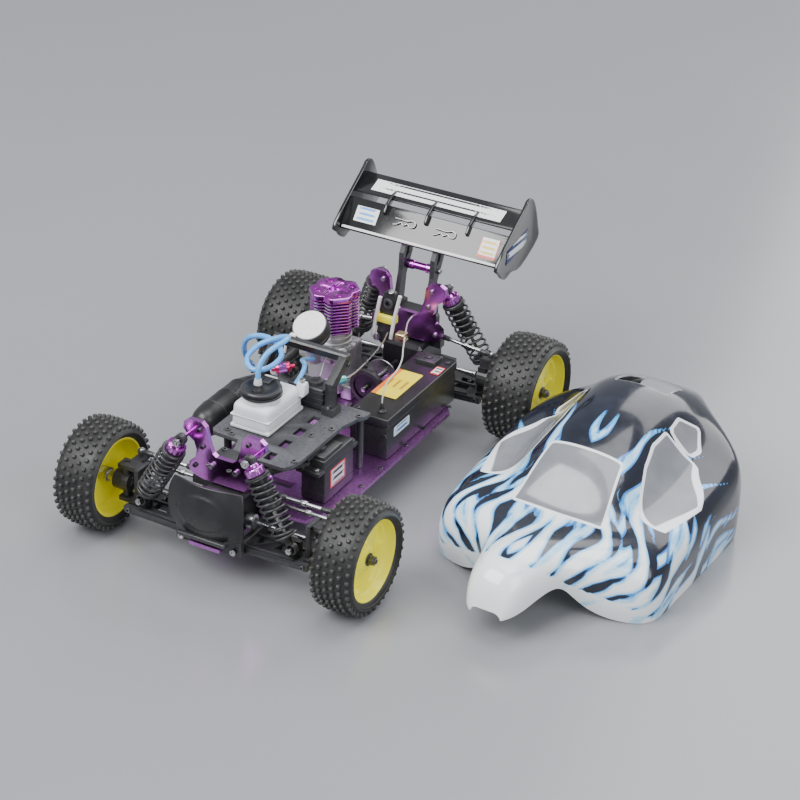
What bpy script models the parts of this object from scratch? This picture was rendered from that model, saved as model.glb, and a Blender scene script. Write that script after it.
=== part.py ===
"""Nitro RC buggy with its body shell lying beside it.

Metres, +Z up. The car drives towards -Y and its left side is +X. Each moving piece hangs on an
empty that stands on its joint's axis.
"""
import math

import bmesh
import bpy
from mathutils import Matrix, Vector

# ---------------------------------------------------------------- driving dimensions
WHEELBASE = 0.276
GROUND_OFFSET = Vector((-0.09037, -0.0128, 0.0))   # puts the origin under the middle of everything
GAP = 0.0003                    # left between pieces that touch

FRONT_TYRE_RADIUS = 0.0424
FRONT_TYRE_WIDTH = 0.0346
FRONT_TYRE_FACE = 0.126         # outer face, from the centreline
FRONT_RIM_RADIUS = 0.0316
REAR_TYRE_RADIUS = 0.0439
REAR_TYRE_WIDTH = 0.0421
REAR_TYRE_FACE = 0.1244
REAR_RIM_RADIUS = 0.0330
LIP_INSET = 0.0036              # rim lip behind the tyre's outer face
AXLE_RADIUS = 0.0040
AXLE_BORE = 0.0045

CHASSIS_BOTTOM = 0.028
CHASSIS_THICKNESS = 0.003
CHASSIS_HALF_WIDTH = 0.059
CHASSIS_NECK = 0.013
CHASSIS_TOP = CHASSIS_BOTTOM + CHASSIS_THICKNESS

DECK_TOP = 0.076
DECK_THICKNESS = 0.003
DECK_BOTTOM = DECK_TOP - DECK_THICKNESS

HINGE_Z = 0.030                 # lower arm hinge pins
HINGE_INNER_X = 0.022
FRONT_HINGE_OUTER_X = 0.074
REAR_HINGE_OUTER_X = 0.066
ARM_THICKNESS = 0.005
BARREL_RADIUS = 0.0036
PIN_RADIUS = 0.0014
PIN_BORE = 0.0019
KINGPIN_X = 0.086
STEER_ARM = 0.024               # kingpin to tie rod ball, fore and aft
TIE_ROD_Z = 0.047
TIE_ROD_INNER_X = 0.024
FRONT_LINK_Z = 0.0615
LINK_INNER_X = 0.032
REAR_LINK_INNER = Vector((0.024, 0.137, 0.0700))
REAR_LINK_OUTER = Vector((0.072, 0.137, 0.0650))

FRONT_SHOCK_TOP = Vector((0.0287, -0.152, 0.102))
FRONT_SHOCK_FOOT = Vector((0.0638, -0.152, 0.041))
REAR_SHOCK_TOP = Vector((0.0300, 0.136, 0.1115))
REAR_SHOCK_FOOT = Vector((0.0600, 0.156, 0.041))
SHOCK_BODY_RADIUS = 0.0063
SHOCK_PIN = 0.0015
SHOCK_EYE = 0.0044
SHOCK_EYE_BORE = 0.0026
SHOCK_FOOT_BORE = SHOCK_EYE_BORE + 0.0005     # looser, for the ball that lets the foot tilt
SPRING_RADIUS = 0.0085
SPRING_WIRE = 0.0009
SPRING_TURNS = 8

TOWER_THICKNESS = 0.004
FRONT_TOWER_Y = -0.140          # front face
REAR_TOWER_Y = 0.127            # front face

SERVO_LOW = Vector((0.025, -0.076, CHASSIS_TOP + GAP))
SERVO_HIGH = Vector((0.045, -0.034, 0.0700))
HORN_ARM = 0.018

BOX_LOW = Vector((0.0203, 0.003, CHASSIS_TOP + GAP))
BOX_HIGH = Vector((0.053, 0.112, 0.058))
BOX_WALL = 0.0018
LID_TOP = 0.066
LID_OVERHANG = 0.0008
ANTENNA_BASE = Vector((0.0424, 0.013, 0.073))

TANK_LOW = Vector((-0.0334, -0.081, DECK_TOP + GAP))
TANK_HIGH = Vector((0.0000, -0.031, 0.0970))
TANK_WALL = 0.002
CAP_CENTRE = Vector((-0.0170, -0.0630, 0.0))
CAP_RADIUS = 0.0158
CAP_HEIGHT = 0.0060
NOZZLE_TOP = Vector((-0.0170, -0.0680, 0.1150))

HEAD_CENTRE = Vector((-0.0385, 0.079, 0.0))
HEAD_TOP = 0.120
HEAD_BOTTOM = 0.088
HEAD_HALF = 0.0185
HEAD_FINS = 7
FILTER_FACE = Vector((-0.0335, 0.0320, 0.1103))
FILTER_AXIS = Vector((0.0, -0.52, 0.854)).normalized()
FILTER_RADIUS = 0.0144
FILTER_LENGTH = 0.016
PIPE_X = -0.0665
PIPE_Z = 0.0610
PIPE_RADIUS = 0.0130
PIPE_FRONT_Y = -0.072
PIPE_REAR_Y = 0.020

ROLL_BAR_X = (0.0200, -0.0385)
ROLL_BAR_Y = -0.0250
ROLL_BAR_TOP = Vector((0.0, -0.005, 0.114))
ROLL_BAR_SIZE = 0.0034          # half the bar's width

WING_HALF_SPAN = 0.0740
WING_SHEET = 0.0024
WING_FRONT = (0.1430, 0.1385)   # main plane, front and rear, as (y, z)
WING_GAP_FRONT = (0.1600, 0.1590)
WING_GAP_REAR = (0.1650, 0.1625)
WING_REAR = (0.1865, 0.1705)
WING_RIB_X = (-0.037, 0.0, 0.037)
END_PLATE = 0.0028

SHELL_CENTRE = Vector((0.213, 0.025, 0.0))
SHELL_TURN = math.radians(-2.7)
SHELL_WALL = 0.0016

FRONT, REAR = -WHEELBASE / 2, WHEELBASE / 2
LEFT, RIGHT = 1, -1

# ---------------------------------------------------------------- finishes: colour, metallic, roughness
FINISHES = {
    "purple_anodised": ((0.27, 0.03, 0.36), 0.9, 0.25),
    "black_plastic": ((0.02, 0.02, 0.022), 0.0, 0.45),
    "grey_plate": ((0.06, 0.06, 0.065), 0.2, 0.45),
    "silver": ((0.6, 0.6, 0.6), 0.9, 0.3),
    "steel": ((0.45, 0.45, 0.46), 0.9, 0.35),
    "tyre_rubber": ((0.02, 0.02, 0.02), 0.0, 0.7),
    "yellow_rim": ((0.9, 0.8, 0.03), 0.0, 0.35),
    "tank_white": ((0.8, 0.82, 0.83), 0.0, 0.4),
    "pipe_black": ((0.04, 0.04, 0.042), 0.3, 0.45),
    "hose_blue": ((0.18, 0.5, 0.85), 0.0, 0.3),
    "wire_white": ((0.7, 0.7, 0.66), 0.0, 0.5),
    "wing_black": ((0.015, 0.015, 0.017), 0.0, 0.2),
    "shell_paint": ((0.03, 0.1, 0.25), 0.0, 0.15),
}


# ---------------------------------------------------------------- scene helpers
def clear_scene():
    """Empty the file of everything it starts with."""
    for item in list(bpy.data.objects):
        bpy.data.objects.remove(item, do_unlink=True)
    for old in list(bpy.data.collections):
        bpy.data.collections.remove(old)


def new_collection(name):
    made = bpy.data.collections.new(name)
    bpy.context.scene.collection.children.link(made)
    return made


def material(name):
    """The finish of that name, made on first use."""
    if name in bpy.data.materials:
        return bpy.data.materials[name]
    made = bpy.data.materials.new(name)
    made.use_nodes = True
    shader = made.node_tree.nodes["Principled BSDF"]
    colour, metallic, roughness = FINISHES[name]
    shader.inputs["Base Color"].default_value = (*colour, 1.0)
    shader.inputs["Metallic"].default_value = metallic
    shader.inputs["Roughness"].default_value = roughness
    return made


def add_object(name, mesh, finish=None):
    """Link a mesh as an object: a part if it has a finish, else a cutter or a piece to unite."""
    made = bpy.data.objects.new(name, mesh)
    if finish is None:
        cutters.objects.link(made)
        made.display_type = "WIRE"
        made.hide_render = True
    else:
        parts.objects.link(made)
        made.data.materials.append(material(finish))
    return made


def from_bmesh(name, build, finish=None):
    mesh = bpy.data.meshes.new(name)
    build.to_mesh(mesh)
    build.free()
    return add_object(name, mesh, finish)


def modifier(piece, kind, **settings):
    made = piece.modifiers.new(kind.title(), kind)
    for key, value in settings.items():
        setattr(made, key, value)
    return made


def unite(piece, *others):
    """Join other solids to a piece."""
    for other in others:
        modifier(piece, "BOOLEAN", operation="UNION", solver="EXACT", object=other)
    return piece


def cut(piece, *others):
    """Cut other solids out of a piece."""
    for other in others:
        modifier(piece, "BOOLEAN", operation="DIFFERENCE", solver="EXACT", object=other)
    return piece


def as_mesh(curve_object, finish=None):
    """Turn a curve into a welded mesh object of the same name and place."""
    evaluated = curve_object.evaluated_get(bpy.context.evaluated_depsgraph_get())
    mesh = bpy.data.meshes.new_from_object(evaluated)
    build = bmesh.new()
    build.from_mesh(mesh)
    bmesh.ops.remove_doubles(build, verts=build.verts, dist=0.00001)
    bmesh.ops.recalc_face_normals(build, faces=build.faces)
    build.to_mesh(mesh)
    build.free()
    mesh.materials.clear()
    name, place = curve_object.name, curve_object.matrix_world.copy()
    bpy.data.objects.remove(curve_object, do_unlink=True)
    made = add_object(name, mesh, finish)
    made.name = name
    made.matrix_world = place
    return made


# ---------------------------------------------------------------- basic shapes
def block(name, low, high, finish=None, bevel=0.0):
    """A box between two corners, with its long edges rounded if asked."""
    low, high = Vector(low), Vector(high)
    build = bmesh.new()
    bmesh.ops.create_cube(build, size=1.0)
    bmesh.ops.scale(build, vec=high - low, verts=build.verts)
    bmesh.ops.translate(build, vec=(low + high) / 2, verts=build.verts)
    made = from_bmesh(name, build, finish)
    if bevel:
        modifier(made, "BEVEL", width=bevel, segments=1, limit_method="ANGLE")
    return made


def bar(name, start, end, radius, finish=None, sides=12):
    """A round bar between two points."""
    start, end = Vector(start), Vector(end)
    build = bmesh.new()
    bmesh.ops.create_cone(
        build, cap_ends=True, segments=sides, radius1=radius, radius2=radius, depth=(end - start).length
    )
    made = from_bmesh(name, build, finish)
    made.location = (start + end) / 2
    made.rotation_mode = "QUATERNION"
    made.rotation_quaternion = (end - start).to_track_quat("Z", "Y")
    return made


def turned(name, profile, origin, axis, finish=None, sides=20, closed=False):
    """A turned solid. The profile is (radius, height) pairs from the top down the outer side."""
    mesh = bpy.data.meshes.new(name)
    count = len(profile)
    edges = [(i, i + 1) for i in range(count - 1)] + ([(count - 1, 0)] if closed else [])
    mesh.from_pydata([(radius, 0.0, height) for radius, height in profile], edges, [])
    made = add_object(name, mesh, finish)
    modifier(
        made, "SCREW", axis="Z", angle=math.tau, screw_offset=0.0, steps=sides, render_steps=sides,
        use_merge_vertices=True, merge_threshold=0.00001, use_smooth_shade=True,
    )
    made.location = origin
    made.rotation_mode = "QUATERNION"
    made.rotation_quaternion = Vector(axis).to_track_quat("Z", "Y")
    return made


def plate(name, outline, low, thickness, plane="XY", finish=None, holes=()):
    """A flat plate from an outline in a plane, rising from low along the plane's normal.

    XY plates rise along +Z, XZ plates along +Y and YZ plates along +X. A hole is a list of points.
    """
    curve = bpy.data.curves.new(name, "CURVE")
    curve.dimensions = "2D"
    curve.fill_mode = "BOTH"
    curve.extrude = thickness / 2
    for loop in (outline, *holes):
        spline = curve.splines.new("POLY")
        spline.points.add(len(loop) - 1)
        for point, (across, up) in zip(spline.points, loop):
            point.co = (across, up, 0.0, 1.0)
        spline.use_cyclic_u = True
    flat = bpy.data.objects.new(name, curve)
    cutters.objects.link(flat)
    middle = low + thickness / 2
    turn = {
        "XY": Matrix(((1, 0, 0, 0), (0, 1, 0, 0), (0, 0, 1, middle), (0, 0, 0, 1))),
        "XZ": Matrix(((1, 0, 0, 0), (0, 0, -1, middle), (0, 1, 0, 0), (0, 0, 0, 1))),
        "YZ": Matrix(((0, 0, 1, middle), (1, 0, 0, 0), (0, 1, 0, 0), (0, 0, 0, 1))),
    }[plane]
    flat.matrix_world = turn
    bpy.context.view_layer.update()
    return as_mesh(flat, finish)


def tube(name, points, radius, finish=None, resolution=2, cyclic=False):
    """A round tube along straight runs between points."""
    curve = bpy.data.curves.new(name, "CURVE")
    curve.dimensions = "3D"
    curve.bevel_depth = radius
    curve.bevel_resolution = resolution
    curve.use_fill_caps = True
    spline = curve.splines.new("POLY")
    spline.points.add(len(points) - 1)
    for point, place in zip(spline.points, points):
        point.co = (*place, 1.0)
    made = bpy.data.objects.new(name, curve)
    cutters.objects.link(made)
    bpy.context.view_layer.update()
    return as_mesh(made, finish)


def ring(centre, radius, sides=10, start=0.0):
    """Points of a round outline."""
    return [
        (centre[0] + radius * math.cos(start + math.tau * i / sides),
         centre[1] + radius * math.sin(start + math.tau * i / sides))
        for i in range(sides)
    ]


def smooth_route(points, per_span):
    """Catmull-Rom points through a route's own points."""
    route = [Vector(p) for p in points]
    padded = [2 * route[0] - route[1], *route, 2 * route[-1] - route[-2]]
    out = []
    for i in range(len(route) - 1):
        p0, p1, p2, p3 = padded[i:i + 4]
        for step in range(per_span):
            t = step / per_span
            out.append(0.5 * (2 * p1 + (p2 - p0) * t + (2 * p0 - 5 * p1 + 4 * p2 - p3) * t * t
                              + (3 * p1 - p0 - 3 * p2 + p3) * t ** 3))
    out.append(route[-1])
    return out


def pivot(name, place):
    """An empty on a joint's axis."""
    made = bpy.data.objects.new(name, None)
    made.empty_display_size = 0.01
    made.location = place
    parts.objects.link(made)
    return made


def hang(holder, *pieces):
    """Parent pieces to an empty and leave them where they are."""
    bpy.context.view_layer.update()
    for piece in pieces:
        piece.parent = holder
        piece.matrix_parent_inverse = holder.matrix_world.inverted()


def side_name(side):
    return "left" if side == LEFT else "right"


def box_across(name, side, x_range, y_range, z_range, finish=None, bevel=0.0):
    """A box on one side of the car: x_range is measured outwards from the centreline."""
    xs = sorted(side * x for x in x_range)
    return block(name, (xs[0], y_range[0], z_range[0]), (xs[1], y_range[1], z_range[1]), finish, bevel)


# ---------------------------------------------------------------- chassis and gear cases
def build_chassis():
    """Flat plate, wide between the axles, with a narrow neck under each gear case."""
    wide, neck = CHASSIS_HALF_WIDTH, CHASSIS_NECK
    half = [
        (neck, FRONT - 0.030), (neck, FRONT + 0.032), (0.045, FRONT + 0.036), (0.055, FRONT + 0.062),
        (wide, FRONT + 0.090), (wide, REAR - 0.045), (0.052, REAR - 0.037), (neck + 0.012, REAR - 0.030),
        (neck, REAR - 0.0275), (neck, REAR + 0.027),
    ]
    outline = half + [(-x, y) for x, y in reversed(half)]
    slots = [
        [(x0, y0), (x1, y0), (x1, y1), (x0, y1)]
        for x0, x1, y0, y1 in ((-0.010, 0.010, 0.030, 0.040), (-0.012, 0.012, -0.070, -0.062))
    ]
    return plate("chassis_plate", outline, CHASSIS_BOTTOM, CHASSIS_THICKNESS, "XY", "purple_anodised", slots)


def gear_case(name, axle_y, nose, half_length, width, low_top, block_top, block_range, axle_z):
    """Gear case on the chassis neck, with hinge pin lugs and drive cups on both sides."""
    near, far = axle_y - half_length, axle_y + half_length
    case = block(
        name, (-width, near, CHASSIS_TOP + GAP), (width, far, low_top), "black_plastic", bevel=0.003
    )
    top = block(name + "_top", (-width + 0.001, block_range[0], low_top - 0.004),
                (width - 0.001, block_range[1], block_top), bevel=0.002)
    unite(case, top)
    for side in (LEFT, RIGHT):
        cup = bar(f"{name}_cup_{side_name(side)}", (side * (width - 0.002), axle_y, axle_z),
                  (side * (width + 0.003), axle_y, axle_z), 0.0055)
        unite(case, cup)
        for end, (y0, y1) in {"a": (near - 0.006, near - 0.002), "b": (far + 0.002, far + 0.006)}.items():
            label = f"{name}_lug_{end}_{side_name(side)}"
            lug = box_across(label, side, (0.0135, HINGE_INNER_X + 0.0055), (y0, y1),
                             (HINGE_Z - 0.004, HINGE_Z + 0.008))
            web_y = (y0 + 0.0005, near + 0.005) if end == "a" else (far - 0.005, y1 - 0.0005)
            web = box_across(label + "_web", side, (0.0095, width - 0.0025), web_y,
                             (CHASSIS_TOP + GAP + 0.0032, HINGE_Z + 0.0084))
            hole = bar(label + "_hole", (side * HINGE_INNER_X, y0 - 0.002, HINGE_Z),
                       (side * HINGE_INNER_X, y1 + 0.002, HINGE_Z), PIN_BORE)
            unite(case, web, lug)
            cut(case, hole)
    return case


def build_front_gearbox():
    case = gear_case("front_gearbox", FRONT, -1, 0.018, 0.0165, 0.0630, 0.0850,
                     (FRONT_TOWER_Y + TOWER_THICKNESS + GAP, FRONT + 0.0190), FRONT_TYRE_RADIUS)
    for side in (LEFT, RIGHT):
        ear = box_across(f"front_gearbox_ear_{side_name(side)}", side, (0.012, LINK_INNER_X + 0.0035),
                         (-0.128, -0.121), (0.0520, FRONT_LINK_Z - 0.0032))
        unite(case, ear)
    return case


def build_rear_gearbox():
    case = gear_case("rear_gearbox", REAR, 1, 0.019, 0.0180, 0.0640, 0.0820,
                     (REAR_TOWER_Y + TOWER_THICKNESS + GAP, REAR + 0.0150), REAR_TYRE_RADIUS)
    for side in (LEFT, RIGHT):
        ear = box_across(f"rear_gearbox_ear_{side_name(side)}", side, (0.014, REAR_LINK_INNER.x + 0.0035),
                         (REAR_LINK_INNER.y - 0.0035, REAR_LINK_INNER.y + 0.0035),
                         (0.0600, REAR_LINK_INNER.z - 0.0034))
        unite(case, ear)
    return case


def shock_tower(name, half, low_y, pins, holes):
    """Anodised tower plate across the car, with a stand-off pin for each shock's top eye."""
    outline = half + [(-x, z) for x, z in reversed(half)]
    tower = plate(name, outline, low_y, TOWER_THICKNESS, "XZ", "purple_anodised",
                  [ring((side * x, z), radius, 8) for x, z, radius in holes for side in (LEFT, RIGHT)])
    for side in (LEFT, RIGHT):
        for label, start, end in pins:
            pin = bar(f"{name}_{label}_{side_name(side)}", (side * start.x, start.y, start.z),
                      (side * end.x, end.y, end.z), SHOCK_PIN, sides=10)
            unite(tower, pin)
    return tower


def build_front_tower():
    half = [
        (0.0180, 0.0660), (0.0245, 0.0675), (0.0300, 0.0710), (0.0300, 0.0775), (0.0245, 0.0830),
        (0.0235, 0.0890), (0.0255, 0.0955), (0.0300, 0.0985), (0.0345, 0.1040), (0.0340, 0.1095),
        (0.0300, 0.1125), (0.0190, 0.1125), (0.0155, 0.1090), (0.0130, 0.0980), (0.0100, 0.0895),
        (0.0070, 0.0872),
    ]
    top = FRONT_SHOCK_TOP
    pin = (top, "pin", Vector((top.x, FRONT_TOWER_Y + 0.001, top.z)), Vector((top.x, top.y - 0.005, top.z)))
    return shock_tower("front_shock_tower", half, FRONT_TOWER_Y, [pin[1:]],
                       [(0.0205, 0.1060, 0.0013), (0.0247, 0.0760, 0.0013), (0.0180, 0.0930, 0.0013)])


def build_rear_tower():
    half = [
        (0.0170, 0.0665), (0.0270, 0.0690), (0.0320, 0.0740), (0.0315, 0.0800), (0.0255, 0.0850),
        (0.0235, 0.0920), (0.0260, 0.1010), (0.0320, 0.1060), (0.0350, 0.1110), (0.0335, 0.1165),
        (0.0290, 0.1190), (0.0200, 0.1185), (0.0165, 0.1140), (0.0150, 0.1020), (0.0115, 0.0920),
        (0.0080, 0.0890),
    ]
    top = REAR_SHOCK_TOP
    start = Vector((top.x, REAR_TOWER_Y + TOWER_THICKNESS - 0.001, top.z))
    end = Vector((top.x, top.y + 0.005, top.z))
    return shock_tower("rear_shock_tower", half, REAR_TOWER_Y, [("pin", start, end)],
                       [(0.0220, 0.1120, 0.0013), (0.0260, 0.0750, 0.0013), (0.0190, 0.0980, 0.0013)])


def build_bumper():
    """Curved bumper plate with a bracket back to the front gear case."""
    half_width, low, high = 0.0320, 0.0370, 0.0800
    columns, rows = 8, 6
    build = bmesh.new()
    bmesh.ops.create_grid(build, x_segments=columns, y_segments=rows, size=1.0)
    for vertex in build.verts:
        across, up = vertex.co.x, vertex.co.y
        corner = 1.0 - 0.10 * abs(up) ** 3
        bulge = 0.0075 * across ** 2 + 0.0050 * max(up, 0.0) ** 2 + 0.0030 * max(-up, 0.0) ** 2
        height = (low + high) / 2 + up * (high - low) / 2 * (1.0 - 0.10 * across ** 4)
        vertex.co = (across * half_width * corner, -0.1745 + bulge, height)
    bumper = from_bmesh("front_bumper", build, "black_plastic")
    modifier(bumper, "SOLIDIFY", thickness=0.0030, offset=-1.0)
    lip = block("front_bumper_lip", (-0.0207, -0.1745, 0.0365), (0.0207, -0.1700, 0.0400))
    bracket = block("front_bumper_bracket", (-0.0110, -0.1725, 0.0460), (0.0110, FRONT - 0.018 - GAP, 0.0600))
    return unite(bumper, bracket, lip)


# ---------------------------------------------------------------- deck and what stands on it
def build_deck():
    """Top deck with a row of four windows and four posts down to the chassis."""
    outline = [
        (0.0372, -0.0950), (0.0372, -0.0380), (0.0410, -0.0230), (0.0450, -0.0150), (0.0450, -0.0090),
        (0.0180, -0.0090), (0.0180, -0.0160), (-0.0430, -0.0160), (-0.0430, -0.0890), (-0.0400, -0.0930),
        (-0.0180, -0.0940), (-0.0120, -0.1115), (0.0315, -0.1115), (0.0345, -0.1060),
    ]
    windows = [
        [(0.0115, y - 0.0055), (0.0178, y - 0.0055), (0.0178, y + 0.0055), (0.0115, y + 0.0055)]
        for y in (-0.1015 + 0.0202 * i for i in range(4))
    ]
    deck = plate("top_deck", outline, DECK_BOTTOM, DECK_THICKNESS, "XY", "grey_plate", windows)
    for index, (x, y) in enumerate(((0.0080, -0.0970), (-0.0320, -0.0860), (0.0400, -0.0160), (-0.0380, -0.0220))):
        unite(deck, bar(f"top_deck_post_{index}", (x, y, CHASSIS_TOP + GAP), (x, y, DECK_TOP - 0.001), 0.0030))
    return deck


def build_servo():
    """Steering servo on the chassis with its mounting ears."""
    low, high = SERVO_LOW, SERVO_HIGH
    servo = block("steering_servo", low, high, "black_plastic", bevel=0.001)
    ears = block("steering_servo_ears", (low.x, low.y - 0.008, 0.0575), (high.x, high.y + 0.007, 0.0605))
    return unite(servo, ears)


def build_horn():
    """Servo horn on the servo's top, pointing forwards."""
    centre = Vector(((SERVO_LOW.x + SERVO_HIGH.x) / 2, SERVO_LOW.y + 0.010, SERVO_HIGH.z + GAP))
    horn = bar("servo_horn", centre, centre + Vector((0, 0, 0.0024)), 0.0045, "black_plastic", sides=14)
    arm = block("servo_horn_arm", (centre.x - 0.0024, centre.y - HORN_ARM - 0.0026, centre.z + 0.0002),
                (centre.x + 0.0024, centre.y, centre.z + 0.0022))
    unite(horn, arm)
    hang(pivot("servo_horn_axis", centre), horn)
    return horn


def build_steering_link():
    """Cross link behind the front gear case, with a riser to the servo horn."""
    y = FRONT + STEER_ARM
    link = block("steering_link", (-0.0275, y - 0.003, 0.0400), (0.0300, y + 0.003, TIE_ROD_Z - 0.0030),
                 "black_plastic")
    top = SERVO_HIGH.z - 0.0004
    riser = block("steering_link_riser", (0.0132, y - 0.0024, 0.0405), (0.0172, y + 0.0026, top))
    end = Vector(((SERVO_LOW.x + SERVO_HIGH.x) / 2, SERVO_LOW.y + 0.010 - HORN_ARM, 0.0))
    reach = plate("steering_link_reach", [(0.0134, y + 0.0024), (0.0136, y - 0.0020), (0.0170, y - 0.0022),
                                          (end.x + 0.0028, end.y - 0.0010), (end.x, end.y + 0.0026)],
                  top - 0.0030, 0.0029)
    return unite(link, riser, reach)


def build_receiver_box():
    """Open tub for the receiver and the battery pack."""
    tub = block("receiver_box", BOX_LOW, BOX_HIGH, "black_plastic", bevel=0.0008)
    wall = Vector((BOX_WALL, BOX_WALL, BOX_WALL))
    hollow = block("receiver_box_hollow", BOX_LOW + wall,
                   (BOX_HIGH.x - BOX_WALL, BOX_HIGH.y - BOX_WALL, BOX_HIGH.z + 0.01))
    return cut(tub, hollow)


def build_receiver_lid():
    """Lid over the tub, with the antenna stub and the switch block on it."""
    edge = LID_OVERHANG
    low_z = BOX_HIGH.z + GAP
    lid = block("receiver_box_lid", (BOX_LOW.x - edge, BOX_LOW.y - edge, low_z),
                (BOX_HIGH.x + edge, BOX_HIGH.y + edge, LID_TOP), "black_plastic", bevel=0.0008)
    pocket = block("receiver_box_lid_pocket", (BOX_LOW.x + BOX_WALL, BOX_LOW.y + BOX_WALL, low_z - 0.005),
                   (BOX_HIGH.x - BOX_WALL, BOX_HIGH.y - BOX_WALL, LID_TOP - 0.0022))
    stub = bar("receiver_box_lid_stub", (ANTENNA_BASE.x, ANTENNA_BASE.y, LID_TOP - 0.001),
               ANTENNA_BASE - Vector((0, 0, GAP)), 0.0016, sides=10)
    switch = block("receiver_box_lid_switch", (0.0260, 0.0950, LID_TOP - 0.001), (0.0430, 0.1080, 0.0700))
    cut(lid, pocket)
    return unite(lid, stub, switch)


def build_tank():
    """Hollow fuel tank with a round filler neck."""
    low, high = TANK_LOW, TANK_HIGH
    tank = block("fuel_tank", low, high, "tank_white", bevel=0.0055)
    foot = block("fuel_tank_foot", low, (high.x, high.y, low.z + 0.010))
    neck = bar("fuel_tank_neck", (CAP_CENTRE.x, CAP_CENTRE.y, high.z - 0.002),
               (CAP_CENTRE.x, CAP_CENTRE.y, high.z + 0.003), 0.0140, sides=24)
    ear = block("fuel_tank_ear", (-0.0040, -0.0335, high.z - 0.008), (0.0035, -0.0290, high.z + 0.004))
    wall = Vector((TANK_WALL, TANK_WALL, TANK_WALL))
    hollow = block("fuel_tank_hollow", low + wall, high - wall - Vector((0, 0, 0.001)), bevel=0.0045)
    mouth = bar("fuel_tank_mouth", (CAP_CENTRE.x, CAP_CENTRE.y, high.z - 0.008),
                (CAP_CENTRE.x, CAP_CENTRE.y, high.z + 0.010), 0.0115, sides=24)
    unite(tank, foot, neck, ear)
    return cut(tank, hollow, mouth)


def build_tank_lid():
    """Round flip lid with a bent nozzle, hinged at its rear edge."""
    base = TANK_HIGH.z + 0.003 + GAP
    top = base + CAP_HEIGHT
    lid = turned("tank_lid", [(0.0, top), (0.0125, top), (CAP_RADIUS, top - 0.0015), (CAP_RADIUS, base),
                              (0.0, base)],
                 (CAP_CENTRE.x, CAP_CENTRE.y, 0.0), (0, 0, 1), "black_plastic", sides=28)
    boss = bar("tank_lid_boss", (CAP_CENTRE.x, NOZZLE_TOP.y, top - 0.001), (CAP_CENTRE.x, NOZZLE_TOP.y, 0.1110),
               0.0040)
    nozzle = bar("tank_lid_nozzle", (CAP_CENTRE.x, NOZZLE_TOP.y, 0.1100),
                 NOZZLE_TOP - Vector((0, 0, GAP)), 0.0022, sides=10)
    knuckle = block("tank_lid_knuckle", (CAP_CENTRE.x - 0.004, CAP_CENTRE.y + CAP_RADIUS - 0.002, base + 0.0005),
                    (CAP_CENTRE.x + 0.004, CAP_CENTRE.y + CAP_RADIUS + 0.003, top - 0.0006))
    unite(lid, boss, nozzle, knuckle)
    hang(pivot("tank_lid_axis", (CAP_CENTRE.x, CAP_CENTRE.y + CAP_RADIUS + 0.002, base + 0.002)), lid)
    return lid


def build_roll_bar():
    """Square hoop over the deck, used as the carry handle."""
    half = ROLL_BAR_SIZE
    left_x, right_x = ROLL_BAR_X
    top = ROLL_BAR_TOP
    hoop = block("roll_bar", (right_x - half, top.y - half, top.z - half), (left_x + half, top.y + half, top.z + half),
                 "black_plastic", bevel=0.0012)
    for label, x in (("left", left_x), ("right", right_x)):
        leg = plate(f"roll_bar_leg_{label}", [
            (ROLL_BAR_Y - half, DECK_TOP + 0.0020), (ROLL_BAR_Y + half, DECK_TOP + 0.0020),
            (ROLL_BAR_Y + half, top.z - 0.0158), (top.y + 0.0014, top.z - 0.0031),
            (top.y - 0.0025, top.z + 0.0024), (ROLL_BAR_Y - half, top.z - 0.0122),
        ], x - half + 0.0002, 2 * half - 0.0004, "YZ")
        foot = block(f"roll_bar_foot_{label}", (x - 0.0050, ROLL_BAR_Y - 0.0060, DECK_TOP + GAP),
                     (x + 0.0050, ROLL_BAR_Y + 0.0060, DECK_TOP + 0.0060))
        unite(hoop, leg, foot)
    return hoop


# ---------------------------------------------------------------- engine
def build_crankcase():
    """Crankcase with mounting feet, cylinder neck and the carburettor's stub."""
    x, y = HEAD_CENTRE.x, HEAD_CENTRE.y
    case = block("crankcase", (x - 0.0150, y - 0.0170, 0.0360), (x + 0.0150, y + 0.0200, 0.0720), "silver",
                 bevel=0.002)
    feet = [
        block(f"crankcase_foot_{side_name(side)}", (x + side * 0.0180 - 0.0050, y - 0.012, CHASSIS_TOP + GAP),
              (x + side * 0.0180 + 0.0050, y + 0.014, 0.0430))
        for side in (LEFT, RIGHT)
    ]
    neck = bar("crankcase_neck", (x, y, 0.0700), (x, y, HEAD_BOTTOM - GAP), 0.0135, sides=20)
    mouth = FILTER_FACE - FILTER_AXIS * (FILTER_LENGTH + 0.0055 + GAP)
    throat = bar("crankcase_throat", mouth, mouth - FILTER_AXIS * 0.0130, 0.0060, sides=14)
    body = block("crankcase_carburettor", (mouth.x - 0.0080, mouth.y - 0.0010, 0.0700),
                 (mouth.x + 0.0080, mouth.y + 0.0130, 0.0850))
    tunnel = bar("crankcase_intake", (mouth.x - 0.0015, mouth.y + 0.0060, 0.0745), (x, y - 0.0080, 0.0690), 0.0060)
    return unite(case, *feet, neck, body, throat, tunnel)


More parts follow.
